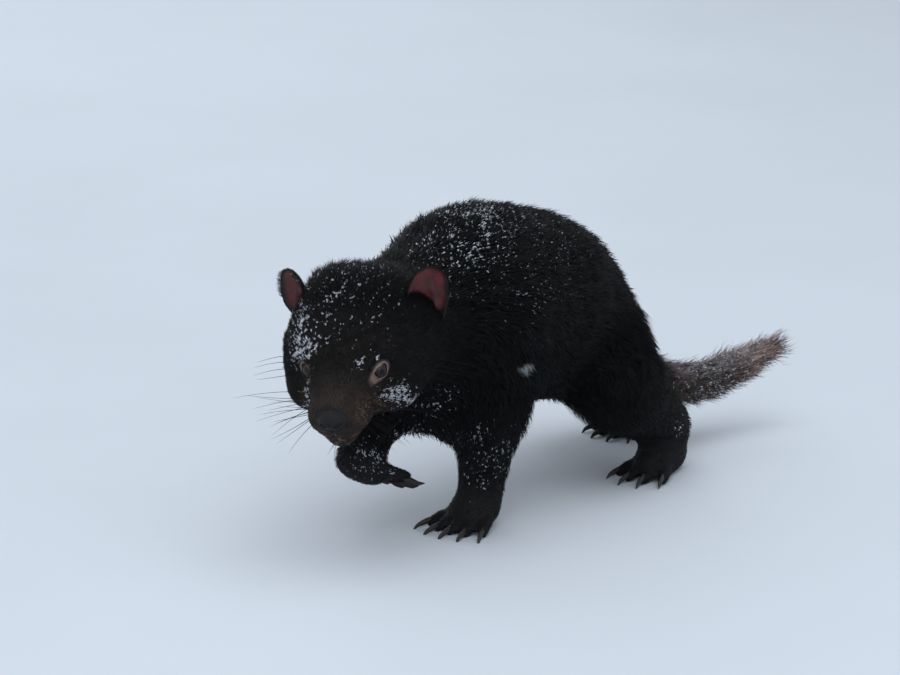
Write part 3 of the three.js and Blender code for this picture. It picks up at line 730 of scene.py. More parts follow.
def carve_face(points):
    """Moves along the normal for lips, philtrum, nostril wings, whisker pads and the folds round the eyes."""
    h = to_head(points)
    f, l, u = h.T
    inside = (f > -25) & (f < 75)
    near = distance_to(lip_line(points[inside]), h, inside)
    above_mouth = u > np.interp(f, MOUTH[:, 0], MOUTH[:, 2])
    move = -2.3 * bell(near / 1.25)
    move += 0.9 * bell((near - 3.2) / 1.7) * above_mouth
    move += 0.6 * bell((near - 3.0) / 1.6) * ~above_mouth
    move -= 1.5 * bell(l / 1.0) * smooth(50, 56, f) * smooth(-17, -20, u) * smooth(-32, -29, u)
    rim = np.sqrt(((f - 50) / 10) ** 2 + (l / 14.5) ** 2 + ((u + 9) / 11) ** 2)
    move += 0.7 * bell((rim - 1.05) / 0.12) * (u > -20)
    for _, s in SIDES:
        move += 1.8 * np.exp(-(((f - 28) / 17) ** 2 + ((l - s * 28) / 11) ** 2 + ((u + 22) / 9) ** 2))
        for row in range(5):
            for k in range(6):
                at = np.array([13 + k * 6.4 + (row % 2) * 3, s * (31 - k * 2.2), -11 - row * 3.8 - k * 0.5])
                move += 0.6 * bell(np.sqrt(((h - at) ** 2 * [1, 0.12, 1]).sum(1)) / 1.6)
    for side, s in SIDES:
        centre, slit, across, way = eye_frame(side, s)
        d = (points - centre) * 1000
        x, y, z = d @ slit, d @ across, d @ way
        r = np.hypot(x / 1.15, y)
        front = smooth(-4, 1, z) * (np.hypot(x, y) < 30)
        above = smooth(-3, 5, u - to_head(centre[None])[0, 2])
        ripple = np.cos((r - 9.5) * 2 * math.pi / 3.4)
        move += front * 0.42 * ripple * bell((r - 12.5) / 4.0) * (0.35 + 0.65 * above)
        move += front * above * 1.5 * bell((r - 13.5) / 3.2)
        move -= front * 0.9 * bell((r - 8.8) / 1.6)
    for k in range(3):
        crease = np.abs(f + 4 - k * 6.5 - 0.010 * l * l)
        move -= 0.5 * bell(crease / 1.1) * smooth(26, 12, np.abs(l)) * smooth(0, 8, u)
    return move / 1000


def hollow_socket(points, side, s):
    """Moves the skin in front of an eyeball to just under the ball's surface."""
    centre, _, _, way = eye_frame(side, s)
    d = points - centre
    far = np.linalg.norm(d, axis=1)
    facing = smooth(0.60, 0.80, d @ way / far) * (far < 0.016)
    excess = np.maximum(far - size().eye_radius + 0.0007, 0) * facing
    return points - unit(d) * excess[:, None]


def refine(obj, least):
    """Splits the skin's faces in front of a plane through the head, in millimetres before the eyes."""
    mesh = obj.data
    f, _, u = to_head(read_points(mesh)).T
    chosen = (f > least) & (f < 80) & (u > -60)
    mesh.vertices.foreach_set("select", chosen)
    mesh.edges.foreach_set("select", chosen[read_edges(mesh)].all(1))
    mesh.polygons.foreach_set("select", [all(chosen[v] for v in p.vertices) for p in mesh.polygons])
    bpy.ops.object.mode_set(mode="EDIT")
    bpy.ops.mesh.subdivide(number_cuts=1, smoothness=1.0)
    bpy.ops.mesh.select_all(action="DESELECT")
    bpy.ops.object.mode_set(mode="OBJECT")


class DEVIL_OT_skin(bpy.types.Operator):
    """One closed skin under the coat, with the folds of the face"""

    bl_idname = "devil.skin"
    bl_label = "Skin"

    def execute(self, context):
        pieces = [copy_node(name, f"flesh_{name}") for name in (*FLESH, "left_eye", "right_eye", "nose")]
        for piece in pieces:
            push_out(piece, 0.0005)
        skin = join("skin", [*pieces, tail_core()])
        apply_modifier(skin, "REMESH", "Remesh", mode="VOXEL", voxel_size=size().voxel)
        keep_largest(skin)
        mesh = skin.data
        points, edges = read_points(mesh), read_edges(mesh)
        count = len(points)
        paws = relax(np.isin(nearest_parts(points), PAWS).astype(float), edges, count, 4)
        face = smooth(-40, 0, to_head(points)[:, 0])
        write_points(mesh, relax(points, edges, count, 14, keep=np.maximum(paws * 0.92, face * 0.75)))
        select_only(skin)
        bpy.ops.object.mode_set(mode="EDIT")
        bpy.ops.mesh.select_all(action="DESELECT")
        bpy.ops.object.mode_set(mode="OBJECT")
        refine(skin, -12.0)
        refine(skin, 2.0)
        points, edges, count = read_points(mesh), read_edges(mesh), len(mesh.vertices)
        depth = coat_fields(points, read_normals(mesh), edges)[3]
        loose = smooth(0.002, 0.006, depth)
        for _ in range(4):
            points = points - relax(read_normals(mesh), edges, count, 3) * depth[:, None] / 4
            points = relax(points, edges, count, 2, keep=1 - loose)
            write_points(mesh, points)
        points = points + read_normals(mesh) * carve_face(points)[:, None]
        for side, s in SIDES:
            points = hollow_socket(points, side, s)
        points[:, 2] = np.maximum(points[:, 2], 0.0)
        write_points(mesh, points)
        unfold = lambda: bpy.ops.uv.smart_project(angle_limit=math.radians(62), island_margin=0.002)
        face_outwards(skin, unfold)
        mesh.uv_layers[0].name = "OFBake"
        settle(skin, skin_material(shared_group()), [*FLESH, "tail"])
        return {"FINISHED"}


# ---------------------------------------------------------------- eyes and lids
def eye_material(side, s, colour):
    """Pupil, rayed iris and dark veined white, by the distance from the middle of the cornea."""
    made, tree, shader = material(f"Eye {side}")
    centre, _, _, way = eye_frame(side, s)
    place = object_place(tree)
    pupil_at = tuple(centre + way * size().eye_radius)
    from_axis = length_of(tree, vectors(tree, "SUBTRACT", place, pupil_at))
    rays = stretch(tree, noise(tree, place, 900.0), 0.35, 0.7)
    iris = blend_colour(tree, rays, rgb(colour), (0.026, 0.015, 0.011, 1))
    inner = blend_colour(tree, stretch(tree, from_axis, 0.0024, 0.0029), (0.001, 0.001, 0.0012, 1), iris)
    veins = stretch(tree, noise(tree, place, 500.0), 0.45, 0.6)
    white = blend_colour(tree, veins, (0.020, 0.011, 0.010, 1), (0.045, 0.022, 0.019, 1))
    whole = blend_colour(tree, stretch(tree, from_axis, 0.0054, 0.0066), inner, white)
    finish_shader(tree, shader, whole, 0.22, 0.12, **{"Coat Weight": 0.22, "Coat Roughness": 0.04})
    return made


# Rings of a lid from the ball outwards, in millimetres: how far out, how high, how far it lies on
# the skin instead of the ball, and how bare it is.
LID_RINGS = (
    (0.0, -0.9, 0.0, 1.0),
    (0.1, 0.15, 0.0, 1.0),
    (0.5, 0.62, 0.0, 1.0),
    (1.1, 0.80, 0.0, 1.0),
    (1.7, 0.62, 0.35, 0.8),
    (2.3, 0.35, 0.8, 0.15),
    (3.0, 0.50, 1.0, 0.0),
    (3.9, 0.35, 1.0, 0.0),
    (5.0, -0.9, 1.0, 0.0),
)
LID_WIDE, LID_HIGH = 6.8, 4.9


class DEVIL_OT_eyes(bpy.types.Operator):
    """Eyeballs with a raised cornea, each in its own lids"""

    bl_idname = "devil.eyes"
    bl_label = "Eyes and lids"

    def execute(self, context):
        radius = size().eye_radius
        shells = []
        for side, s in SIDES:
            centre, slit, across, way = eye_frame(side, s)
            bpy.ops.object.select_all(action="DESELECT")
            bpy.ops.mesh.primitive_uv_sphere_add(segments=48, ring_count=32, radius=radius)
            ball = named(f"eyeball_{side}")
            co = read_points(ball.data)
            bulge = smooth(0.60, 0.98, co[:, 2] / radius) * 0.0007
            co = co + unit(co) * bulge[:, None]
            write_points(ball.data, centre + co @ np.array([slit, across, way]))
            settle(ball, eye_material(side, s, look().eye), [f"{side}_eye"])
            shells.append(self.lids(side, s, radius))
        lids = join("eyelids", shells)
        settle(lids, self.lid_material())
        return {"FINISHED"}

    def lids(self, side, s, radius):
        """A rolled rim round the teardrop of the opening, that runs out under the face's coat."""
        centre, slit, across, way = eye_frame(side, s)
        if across @ HEAD_U < 0:
            across = -across
        skin = bpy.data.objects["skin"]
        n = 96
        a = np.arange(n) * 2 * math.pi / n
        corner = smooth(0.55, 1.0, np.cos(a))
        x = LID_WIDE * np.cos(a) + 2.0 * corner - 0.9 * smooth(0.6, 1.0, -np.cos(a))
        y = LID_HIGH * np.sin(a) * (1 - 0.3 * corner) - 0.9 * corner + 0.5 * smooth(0.5, 1, -np.cos(a))
        outward = unit(np.stack([np.cos(a) / 6.5, np.sin(a) / 5.0], 1))
        rows, pink = [], []
        for out, rise, on_skin, tint in LID_RINGS:
            px, py = x + outward[:, 0] * out, y + outward[:, 1] * out
            r = np.hypot(px, py)
            ball = np.sqrt(np.maximum((radius * 1000) ** 2 - r**2, 0.0))
            under = []
            for i in range(n):
                start = centre + (px[i] * slit + py[i] * across + 30 * way) / 1000
                hit, place, _, _ = skin.ray_cast(Vector(start), Vector(-way))
                under.append((np.array(place) - centre) @ way * 1000 if hit else ball[i])
            under = np.array(under)
            blend = np.maximum(on_skin, smooth(5.8, 8.0, r))
            pz = ball * (1 - blend) + under * blend + rise
            rows.append(np.stack([px, py, pz], 1))
            wide = smooth(0.35, 0.95, np.cos(a + 0.1)) * (out < 4.2)
            pink.append(np.maximum(tint, wide))
        grid = np.stack(rows)
        grid[1:-1] += (np.roll(grid, 1, 1) + np.roll(grid, -1, 1) - 2 * grid)[1:-1] * 0.25
        points = centre + grid.reshape(-1, 3) / 1000 @ np.array([slit, across, way])
        faces = []
        for r in range(len(LID_RINGS) - 1):
            for i in range(n):
                j = (i + 1) % n
                faces.append((r * n + i, r * n + j, (r + 1) * n + j, (r + 1) * n + i))
        obj = new_object(f"lids_{side}", points, faces)
        write_attribute(obj.data, "bare", np.concatenate(pink))
        obj.data.update()
        facing = read_normals(obj.data)[3 * n : 4 * n]
        if (facing @ way).mean() < 0:
            obj.data.flip_normals()
        apply_modifier(obj, "SOLIDIFY", "Thickness", thickness=0.0006, offset=-1.0)
        apply_modifier(obj, "SUBSURF", "Round", levels=1, render_levels=1)
        return obj

    def lid_material(self):
        made, tree, shader = material("Devil lids")
        used = marked(tree, shared_group())
        wrinkle = noise(tree, object_place(tree), 700.0, 5.0, 0.7)
        # Painted shade: the lid's colour at half brightness fills the low places of the wrinkles, which the
        # bump also draws.
        crease_shade = rgb(c * 0.5 for c in look().lid)
        flesh = blend_colour(tree, stretch(tree, wrinkle, 0.3, 0.7), crease_shade, rgb(look().lid))
        colour = blend_colour(tree, attribute(tree, "bare"), used.outputs["Colour"], flesh)
        finish_shader(tree, shader, colour, 0.45, 0.3, bump(tree, wrinkle, 0.5, 0.0004))
        return made


# ---------------------------------------------------------------- nose
class DEVIL_OT_nose(bpy.types.Operator):
    """Bare pebbled nose pad with its comma-shaped nostrils and middle groove"""

    bl_idname = "devil.nose"
    bl_label = "Nose pad"

    def execute(self, context):
        bpy.ops.object.select_all(action="DESELECT")
        bpy.ops.mesh.primitive_uv_sphere_add(segments=96, ring_count=64, radius=1.0)
        pad = named("nose_pad")
        l, u, f = read_points(pad.data).T
        x, y, z = f * 8.8, l * (12.6 - 1.6 * (u < 0) * np.abs(u)), u * 9.2
        z = z - 0.8 * smooth(0.2, 1.0, np.abs(l)) * (u > 0)
        front = smooth(0.1, 0.5, f)
        for s in (1, -1):
            a, b = y - s * 6.1, z + 1.6
            long, short = a * 0.86 + s * b * 0.5, -s * a * 0.5 + b * 0.86
            hole = np.exp(-(((long / 2.7) ** 2 + (short / 1.55) ** 2) ** 1.3))
            slot = np.exp(-(((y - s * 9.6) / 2.6) ** 2 + ((z + 0.9) / 0.85) ** 2))
            x = x - front * (4.6 * hole + 2.0 * slot)
            x = x + front * 0.55 * bell((np.hypot(long / 1.25, short) - 3.1) / 0.9)
        x = x - front * 1.1 * bell(y / 0.7) * smooth(3.5, 0.0, z)
        write_points(pad.data, from_head(np.stack([x + 55, y, z - 10], 1)))
        face_outwards(pad)
        settle(pad, self.nose_material(), ["nose"])
        return {"FINISHED"}

    def nose_material(self):
        made, tree, shader = material("Devil nose")
        place = object_place(tree)
        pebble_height_and_groove_shade = stretch(tree, cells(tree, place, 1150.0, "DISTANCE_TO_EDGE"), 0.0, 0.25)
        worn = stretch(tree, noise(tree, place, 260.0), 0.35, 0.7)
        colour = blend_colour(tree, worn, rgb(look().nose), (0.0130, 0.0125, 0.0135, 1))
        # Painted shade: the grooves between the pebbles are painted darker.
        colour = blend_colour(tree, pebble_height_and_groove_shade, (0.005, 0.005, 0.006, 1), colour)
        # Painted shadow: the nostrils and the slits beside them are painted nearly black.
        for _, s in SIDES:
            nostril = (58.5, s * 6.1, -11.6), (0.006, 0.0036, 0.0026)
            slot = (57.5, s * 9.4, -11.0), (0.005, 0.003, 0.0016)
            for spot, radii in (nostril, slot):
                hole = near_spot(tree, place, head_point(*spot), radii)
                colour = blend_colour(tree, hole, colour, (0.0008, 0.0008, 0.0010, 1))
        rough = stretch(tree, worn, 0.0, 1.0, 0.44, 0.62)
        finish_shader(tree, shader, colour, rough, 0.22, bump(tree, pebble_height_and_groove_shade, 0.6, 0.0004))
        return made


# ---------------------------------------------------------------- ears
EAR_WIDTH = 40.0
# Height, outward lean and how far the foot runs into the head, for the left and right ear.
EARS = {1.0: (51.0, 8.0, 0.0), -1.0: (46.0, 1.0, 9.0)}
EAR_BEND = (1.25, 0.6)  # half the angle of the cup's curve, at the foot and at the tip
EAR_THICK = (3.0, 1.0)
EAR_FOOT = -0.16  # how far the ear goes on below its root, as a share of its height
EAR_COLUMNS, EAR_ROWS = 40, 48


def ear_axes(s):
    base = np.array([-68.0, s * 62.0, 8.0])
    up = unit(np.array([-10.0, s * EARS[s][1], 46.0]))
    opens = np.array([0.8, s * 0.6, 0.0])
    opens = unit(opens - up * (opens @ up))
    return base, up, opens, np.cross(up, opens)


def ear_points(s, u, v, out):
    """Points of an ear in the head frame, over u across and v up; out 0 is the cup's face and 1 its back."""
    base, up, opens, across = ear_axes(s)
    tall, _, sink = EARS[s]
    rise = np.clip((v - 0.4) / 0.6, 0, 1)
    w = EAR_WIDTH / 2 * np.minimum(0.76 + 0.6 * v, 1) * np.sqrt(np.maximum(1 - rise**4, 0.012))
    bend = EAR_BEND[0] + (EAR_BEND[1] - EAR_BEND[0]) * v
    thick = out * (EAR_THICK[0] + (EAR_THICK[1] - EAR_THICK[0]) * np.clip(v, 0, 1)) * (1 - 0.6 * u**4)
    r = w / np.sin(bend)
    drop = 0.15 * u * u * v * (1 - rise**2)
    height = -8 + (tall + 8) * v * (1 - drop)
    side = np.sin(u * bend) * (r + thick)
    deep = r * np.cos(bend) - np.cos(u * bend) * (r + thick)
    sunk = sink * smooth(0.34, -0.12, v)[..., None] * np.array([0.0, -s, 0.0])
    return base + up * height[..., None] + across * side[..., None] + opens * deep[..., None] + sunk


def ear_faces():
    """Faces of a cup and its back, joined round the rim and the foot."""
    columns, rows = EAR_COLUMNS, EAR_ROWS
    faces = []

    def at(k, i, j):
        return k * (rows + 1) * (columns + 1) + j * (columns + 1) + i

    for j in range(rows):
        for i in range(columns):
            faces.append((at(0, i, j), at(0, i + 1, j), at(0, i + 1, j + 1), at(0, i, j + 1)))
            faces.append((at(1, i + 1, j), at(1, i, j), at(1, i, j + 1), at(1, i + 1, j + 1)))
    for i in range(columns):
        faces.append((at(1, i, 0), at(1, i + 1, 0), at(0, i + 1, 0), at(0, i, 0)))
        faces.append((at(0, i, rows), at(0, i + 1, rows), at(1, i + 1, rows), at(1, i, rows)))
    for j in range(rows):
        faces.append((at(1, 0, j), at(0, 0, j), at(0, 0, j + 1), at(1, 0, j + 1)))
        faces.append((at(0, columns, j), at(1, columns, j), at(1, columns, j + 1), at(0, columns, j + 1)))
    return faces


class DEVIL_OT_ears(bpy.types.Operator):
    """Thin cupped ears with the folds at the root of the cup"""

    bl_idname = "devil.ears"
    bl_label = "Ears"

    def execute(self, context):
        for side, s in SIDES:
            v = 1 - (1 - np.linspace(0, 1, EAR_ROWS + 1)) ** 1.7
            u, v = np.meshgrid(np.linspace(-1, 1, EAR_COLUMNS + 1), EAR_FOOT + (1 - EAR_FOOT) * v)
            u, v = u.ravel(), v.ravel()
            opens = ear_axes(s)[2]
            near = np.clip(v, 0, 1)
            lean = u - 0.42 * s + 0.55 * (near - 0.4) * s
            fold = 2.2 * bell(lean / 0.13) * smooth(0.75, 0.35, near)
            fold += 1.5 * bell((u + 0.30 * s) / 0.11) * smooth(0.55, 0.2, near)
            fold += 2.6 * bell((near - 0.14) / 0.07) * bell((u - 0.1 * s) / 0.4)
            fold += 0.35 * np.sin(near * 26 + u * 3) * smooth(0.85, 0.5, near)
            wave = 0.5 * np.sin(u * 5 + near * 4) * smooth(0.3, 1.0, near)
            face = ear_points(s, u, v, 0.0) + opens * (fold * (1 - np.abs(u) ** 6) + wave)[:, None]
            back = ear_points(s, u, v, 1.0) + opens * wave[:, None]
            ear = new_object(f"ear_{side}", from_head(np.vstack([face, back])), ear_faces())
            hairy = smooth(0.60, 1.0, np.abs(u)) + smooth(0.84, 1.0, near) + 0.75 * smooth(0.30, 0.05, near)
            hairy += 0.5 * bell((lean - 0.12) / 0.10) * (near < 0.8)
            write_attribute(ear.data, "hairy", np.append(np.clip(hairy, 0, 1), np.ones(len(u))))
            settle(ear, self.ear_material(side), [f"{side}_ear"])
        return {"FINISHED"}

    def ear_material(self, side):
        made, tree, shader = material(f"Ear skin {side}")
        place = object_place(tree)
        blush = stretch(tree, noise(tree, place, 75.0, 4.0), 0.34, 0.66)
        skin = blend_colour(tree, blush, (0.056, 0.019, 0.019, 1), rgb(look().ear))
        veins = stretch(tree, cells(tree, place, 210.0, "DISTANCE_TO_EDGE"), 0.0, 0.07)
        skin = blend_colour(tree, veins, (0.085, 0.014, 0.018, 1), skin)
        ragged = maths(tree, "ADD", attribute(tree, "hairy"), times(tree, noise(tree, place, 300.0), 0.5))
        skin = blend_colour(tree, stretch(tree, ragged, 0.45, 1.25), skin, (0.0075, 0.0058, 0.0058, 1))
        grain = noise(tree, place, 650.0, 5.0, 0.6)
        finish_shader(tree, shader, skin, 0.55, 0.3, bump(tree, grain, 0.5, 0.0005))
        return made


# ---------------------------------------------------------------- claws
class DEVIL_OT_claws(bpy.types.Operator):
    """Curved dark claws, rounded from the solids' plain ones"""

    bl_idname = "devil.claws"
    bl_label = "Claws"

    def execute(self, context):
        made, tree, shader = material("Claw horn")
        drawn = vectors(tree, "MULTIPLY", object_place(tree), (60, 900, 900))
        stripes = noise(tree, drawn, 1.0, 4.0)
        streaks = stretch(tree, stripes, 0.3, 0.7)
        colour = blend_colour(tree, streaks, (0.018, 0.015, 0.014, 1), rgb(look().claw))
        finish_shader(tree, shader, colour, 0.45, 0.25, bump(tree, stripes, 0.3, 0.0002))
        for paw in PAWS:
            nodes = [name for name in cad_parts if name.startswith(f"{paw}_claw")]
            claws = [self.rounded(name, box_centre(paw)) for name in nodes]
            settle(join(f"claws_{paw}", claws), made, nodes)
        return {"FINISHED"}

    def rounded(self, name, paw_centre):
        """A rounded copy of a claw, with its root drawn back into the flesh of its toe."""
        claw = copy_node(name, f"rounded_{name}")
        push_out(claw, 0.0004)
        apply_modifier(claw, "REMESH", "Remesh", mode="VOXEL", voxel_size=0.0005)
        keep_largest(claw)
        apply_modifier(claw, "SMOOTH", "Smooth", factor=0.5, iterations=16)
        push_out(claw, 0.0004)
        co = read_points(claw.data)
        middle = co.mean(0)
        axis = np.linalg.svd(co - middle, full_matrices=False)[2][0]
        axis *= np.sign((middle - paw_centre) @ axis)
        t = (co - middle) @ axis
        t = (t - t.min()) / np.ptp(t)
        co -= np.outer(smooth(0.4, 0.0, t) * 0.0042, axis)
        co[:, 2] = np.maximum(co[:, 2], 0.0001)
        write_points(claw.data, co)
        return claw


# ---------------------------------------------------------------- coat
def tuft_arrays(root, lie, normal, length, width, lift, bow, rings, rng):
    """Points (n, 3 * rings + 1, 3) of closed three-sided tufts, and how far along its tuft each is."""
    n = len(root)
    side = unit(np.cross(normal, lie))
    yaw = rng.normal(0, 0.20, n)[:, None]
    way = unit(lie * np.cos(yaw) + side * np.sin(yaw))
    side = unit(np.cross(normal, way))
    steps = np.linspace(0, 1, rings + 1)
    spine = np.empty((n, rings + 1, 3))
    spine[:, 0] = root - normal * np.minimum(0.0012, length * 0.12)[:, None]
    droop = rng.normal(0, 0.10, n)
    for k in range(rings):
        angle = lift * (1 - bow * (k / max(rings - 1, 1))) + droop * k / rings
        step = way * np.cos(angle)[:, None] + normal * np.sin(angle)[:, None]
        sway = side * (rng.normal(0, 0.10, n) * k)[:, None]
        spine[:, k + 1] = spine[:, k] + unit(step + sway) * (length * (steps[k + 1] - steps[k]))[:, None]
    profile = np.array([0.75, 1.0, 0.72, 0.42])[:rings] if rings > 2 else np.array([0.9, 0.75])
    a = np.array([0, 2, 4]) * math.pi / 3 + math.pi / 2
    points = np.empty((n, 3 * rings + 1, 3))
    for k in range(rings):
        ring = side[:, None] * np.cos(a)[:, None] + normal[:, None] * np.sin(a)[:, None] * 0.45
        points[:, 3 * k : 3 * k + 3] = spine[:, k : k + 1] + ring * (width * profile[k] / 2)[:, None, None]
    points[:, -1] = spine[:, -1]
    return points, np.append(np.repeat(steps[:rings], 3), 1.0)


def tuft_faces(rings):
    faces = [(2, 1, 0)]
    for k in range(rings - 1):
        for s in range(3):
            a, b = 3 * k + s, 3 * k + (s + 1) % 3
            faces += [(a, b, b + 3), (a, b + 3, a + 3)]
    last, tip = 3 * (rings - 1), 3 * rings
    faces += [(last, last + 1, tip), (last + 1, last + 2, tip), (last + 2, last, tip)]
    return np.array(faces)


def coat_object(name, points, along, uv, shade, frost, rings):
    """One joined mesh of tufts, with each tuft's patch on the bake map at its root's place."""
    n, each, _ = points.shape
    faces = (tuft_faces(rings)[None] + (np.arange(n) * each)[:, None, None]).reshape(-1, 3)
    mesh = bpy.data.meshes.new(name)
    mesh.vertices.add(n * each)
    mesh.vertices.foreach_set("co", points.astype(np.float32).ravel())
    mesh.loops.add(faces.size)
    mesh.loops.foreach_set("vertex_index", faces.astype(np.int32).ravel())
    mesh.polygons.add(len(faces))
    mesh.polygons.foreach_set("loop_start", np.arange(0, faces.size, 3, dtype=np.int32))
    mesh.update(calc_edges=True)
    angle = np.tile([0, 2, 4], rings) * math.pi / 3
    reach = 0.0015 * (1 - np.repeat(np.arange(rings) / rings, 3))
    offset = np.stack([np.append(np.cos(angle) * reach, 0), np.append(np.sin(angle) * reach, 0)], 1)
    spots = np.clip(uv[:, None] + offset, 0, 1).reshape(-1, 2)
    layer = mesh.uv_layers.new(name="OFBake")
    layer.data.foreach_set("uv", spots[faces.ravel()].astype(np.float32).ravel())
    write_attribute(mesh, "along", np.tile(along, n))
    write_attribute(mesh, "shade", np.repeat(shade, each))
    write_attribute(mesh, "frost", frost.ravel())
    mesh.validate()
    obj = bpy.data.objects.new(name, mesh)
    bpy.context.scene.collection.objects.link(obj)
    return obj


PIECE_TRIANGLES = 199000  # the most in one piece of coat
# Where the coat's tips are pale with frost: place and radius in millimetres, and how thickly.
FROST = (
    (304, -20, 205, 14, 1.9),
    (308, -6, 205, 9, 1.1),
    (301, -1, 217, 10, 0.45),
    (291, -33, 224, 15, 0.8),
    (272, 6, 256, 36, 0.3),
    (282, -3, 248, 8, 0.7),
    (291, -1, 233, 7, 0.6),
    (272, 23, 250, 24, 0.26),
    (277, 57, 170, 8, 1.5),
    (267, 64, 167, 9, 1.7),
    (252, 66, 160, 8, 1.1),
    (272, 59, 153, 7, 1.2),
    (181, 29, 136, 14, 0.45),
    (178, 40, 146, 12, 0.45),
    (297, 44, 199, 5, 0.8),
    (284, 51, 204, 5, 0.7),
    (306, -9, 164, 7, 1.5),
    (302, -12, 153, 6, 1.4),
    (161, -6, 99, 18, 0.7),
    (209, -17, 82, 20, 1.2),
    (193, -12, 65, 14, 0.9),
    (138, 56, 95, 22, 0.45),
    (117, 63, 77, 20, 0.45),
    (120, 48, 56, 18, 0.5),
    (104, 18, 295, 42, 0.50),
    (118, 40, 282, 34, 0.34),
    (150, 30, 273, 34, 0.50),
    (39, 61, 266, 48, 0.12),
    (104, 75, 252, 38, 0.12),
    (-137, 89, 50, 11, 0.9),
    (-239, 38, 78, 40, 0.55),
    (-278, 46, 88, 42, 0.55),
    (-311, 50, 94, 36, 0.35),
)


class Skin:
    """The skin's triangles, with the coat's fields at its points."""

    def __init__(self):
        mesh = bpy.data.objects["skin"].data
        self.points, self.normals = read_points(mesh), read_normals(mesh)
        self.part, self.lie, self.length, _ = coat_fields(self.points, self.normals, read_edges(mesh))
        mesh.calc_loop_triangles()
        count = len(mesh.loop_triangles)
        corners, loops = np.empty(count * 3, np.int32), np.empty(count * 3, np.int32)
        mesh.loop_triangles.foreach_get("vertices", corners)
        mesh.loop_triangles.foreach_get("loops", loops)
        uv = np.empty(len(mesh.loops) * 2, np.float32)
        mesh.uv_layers["OFBake"].data.foreach_get("uv", uv)
        self.corners, self.loops = corners.reshape(-1, 3), loops.reshape(-1, 3)
        self.uv = uv.reshape(-1, 2)
        a, b, c = (self.points[self.corners[:, i]] for i in range(3))
        self.area = np.linalg.norm(np.cross(b - a, c - a), axis=1) / 2
        self.middle = (a + b + c) / 3

    def scatter(self, weight, count, rng):
        """Roots spread by each triangle's weight: place, normal, lie, length and place on the bake map."""
        share = np.cumsum(weight * self.area)
        picks = (np.arange(count) + rng.random(count)) / count * share[-1]
        chosen = np.minimum(np.searchsorted(share, picks), len(share) - 1)
        r = np.sqrt(rng.random(count))
        t = rng.random(count)
        w = np.stack([1 - r, r * (1 - t), r * t], 1)[:, :, None]
        ids = self.corners[chosen]
        points, normals, lie = ((values[ids] * w).sum(1) for values in (self.points, self.normals, self.lie))
        uv = (self.uv[self.loops[chosen]] * w).sum(1)
        length = (self.length[ids] * w[:, :, 0]).sum(1)
        return points, unit(normals), unit(lie), length, uv


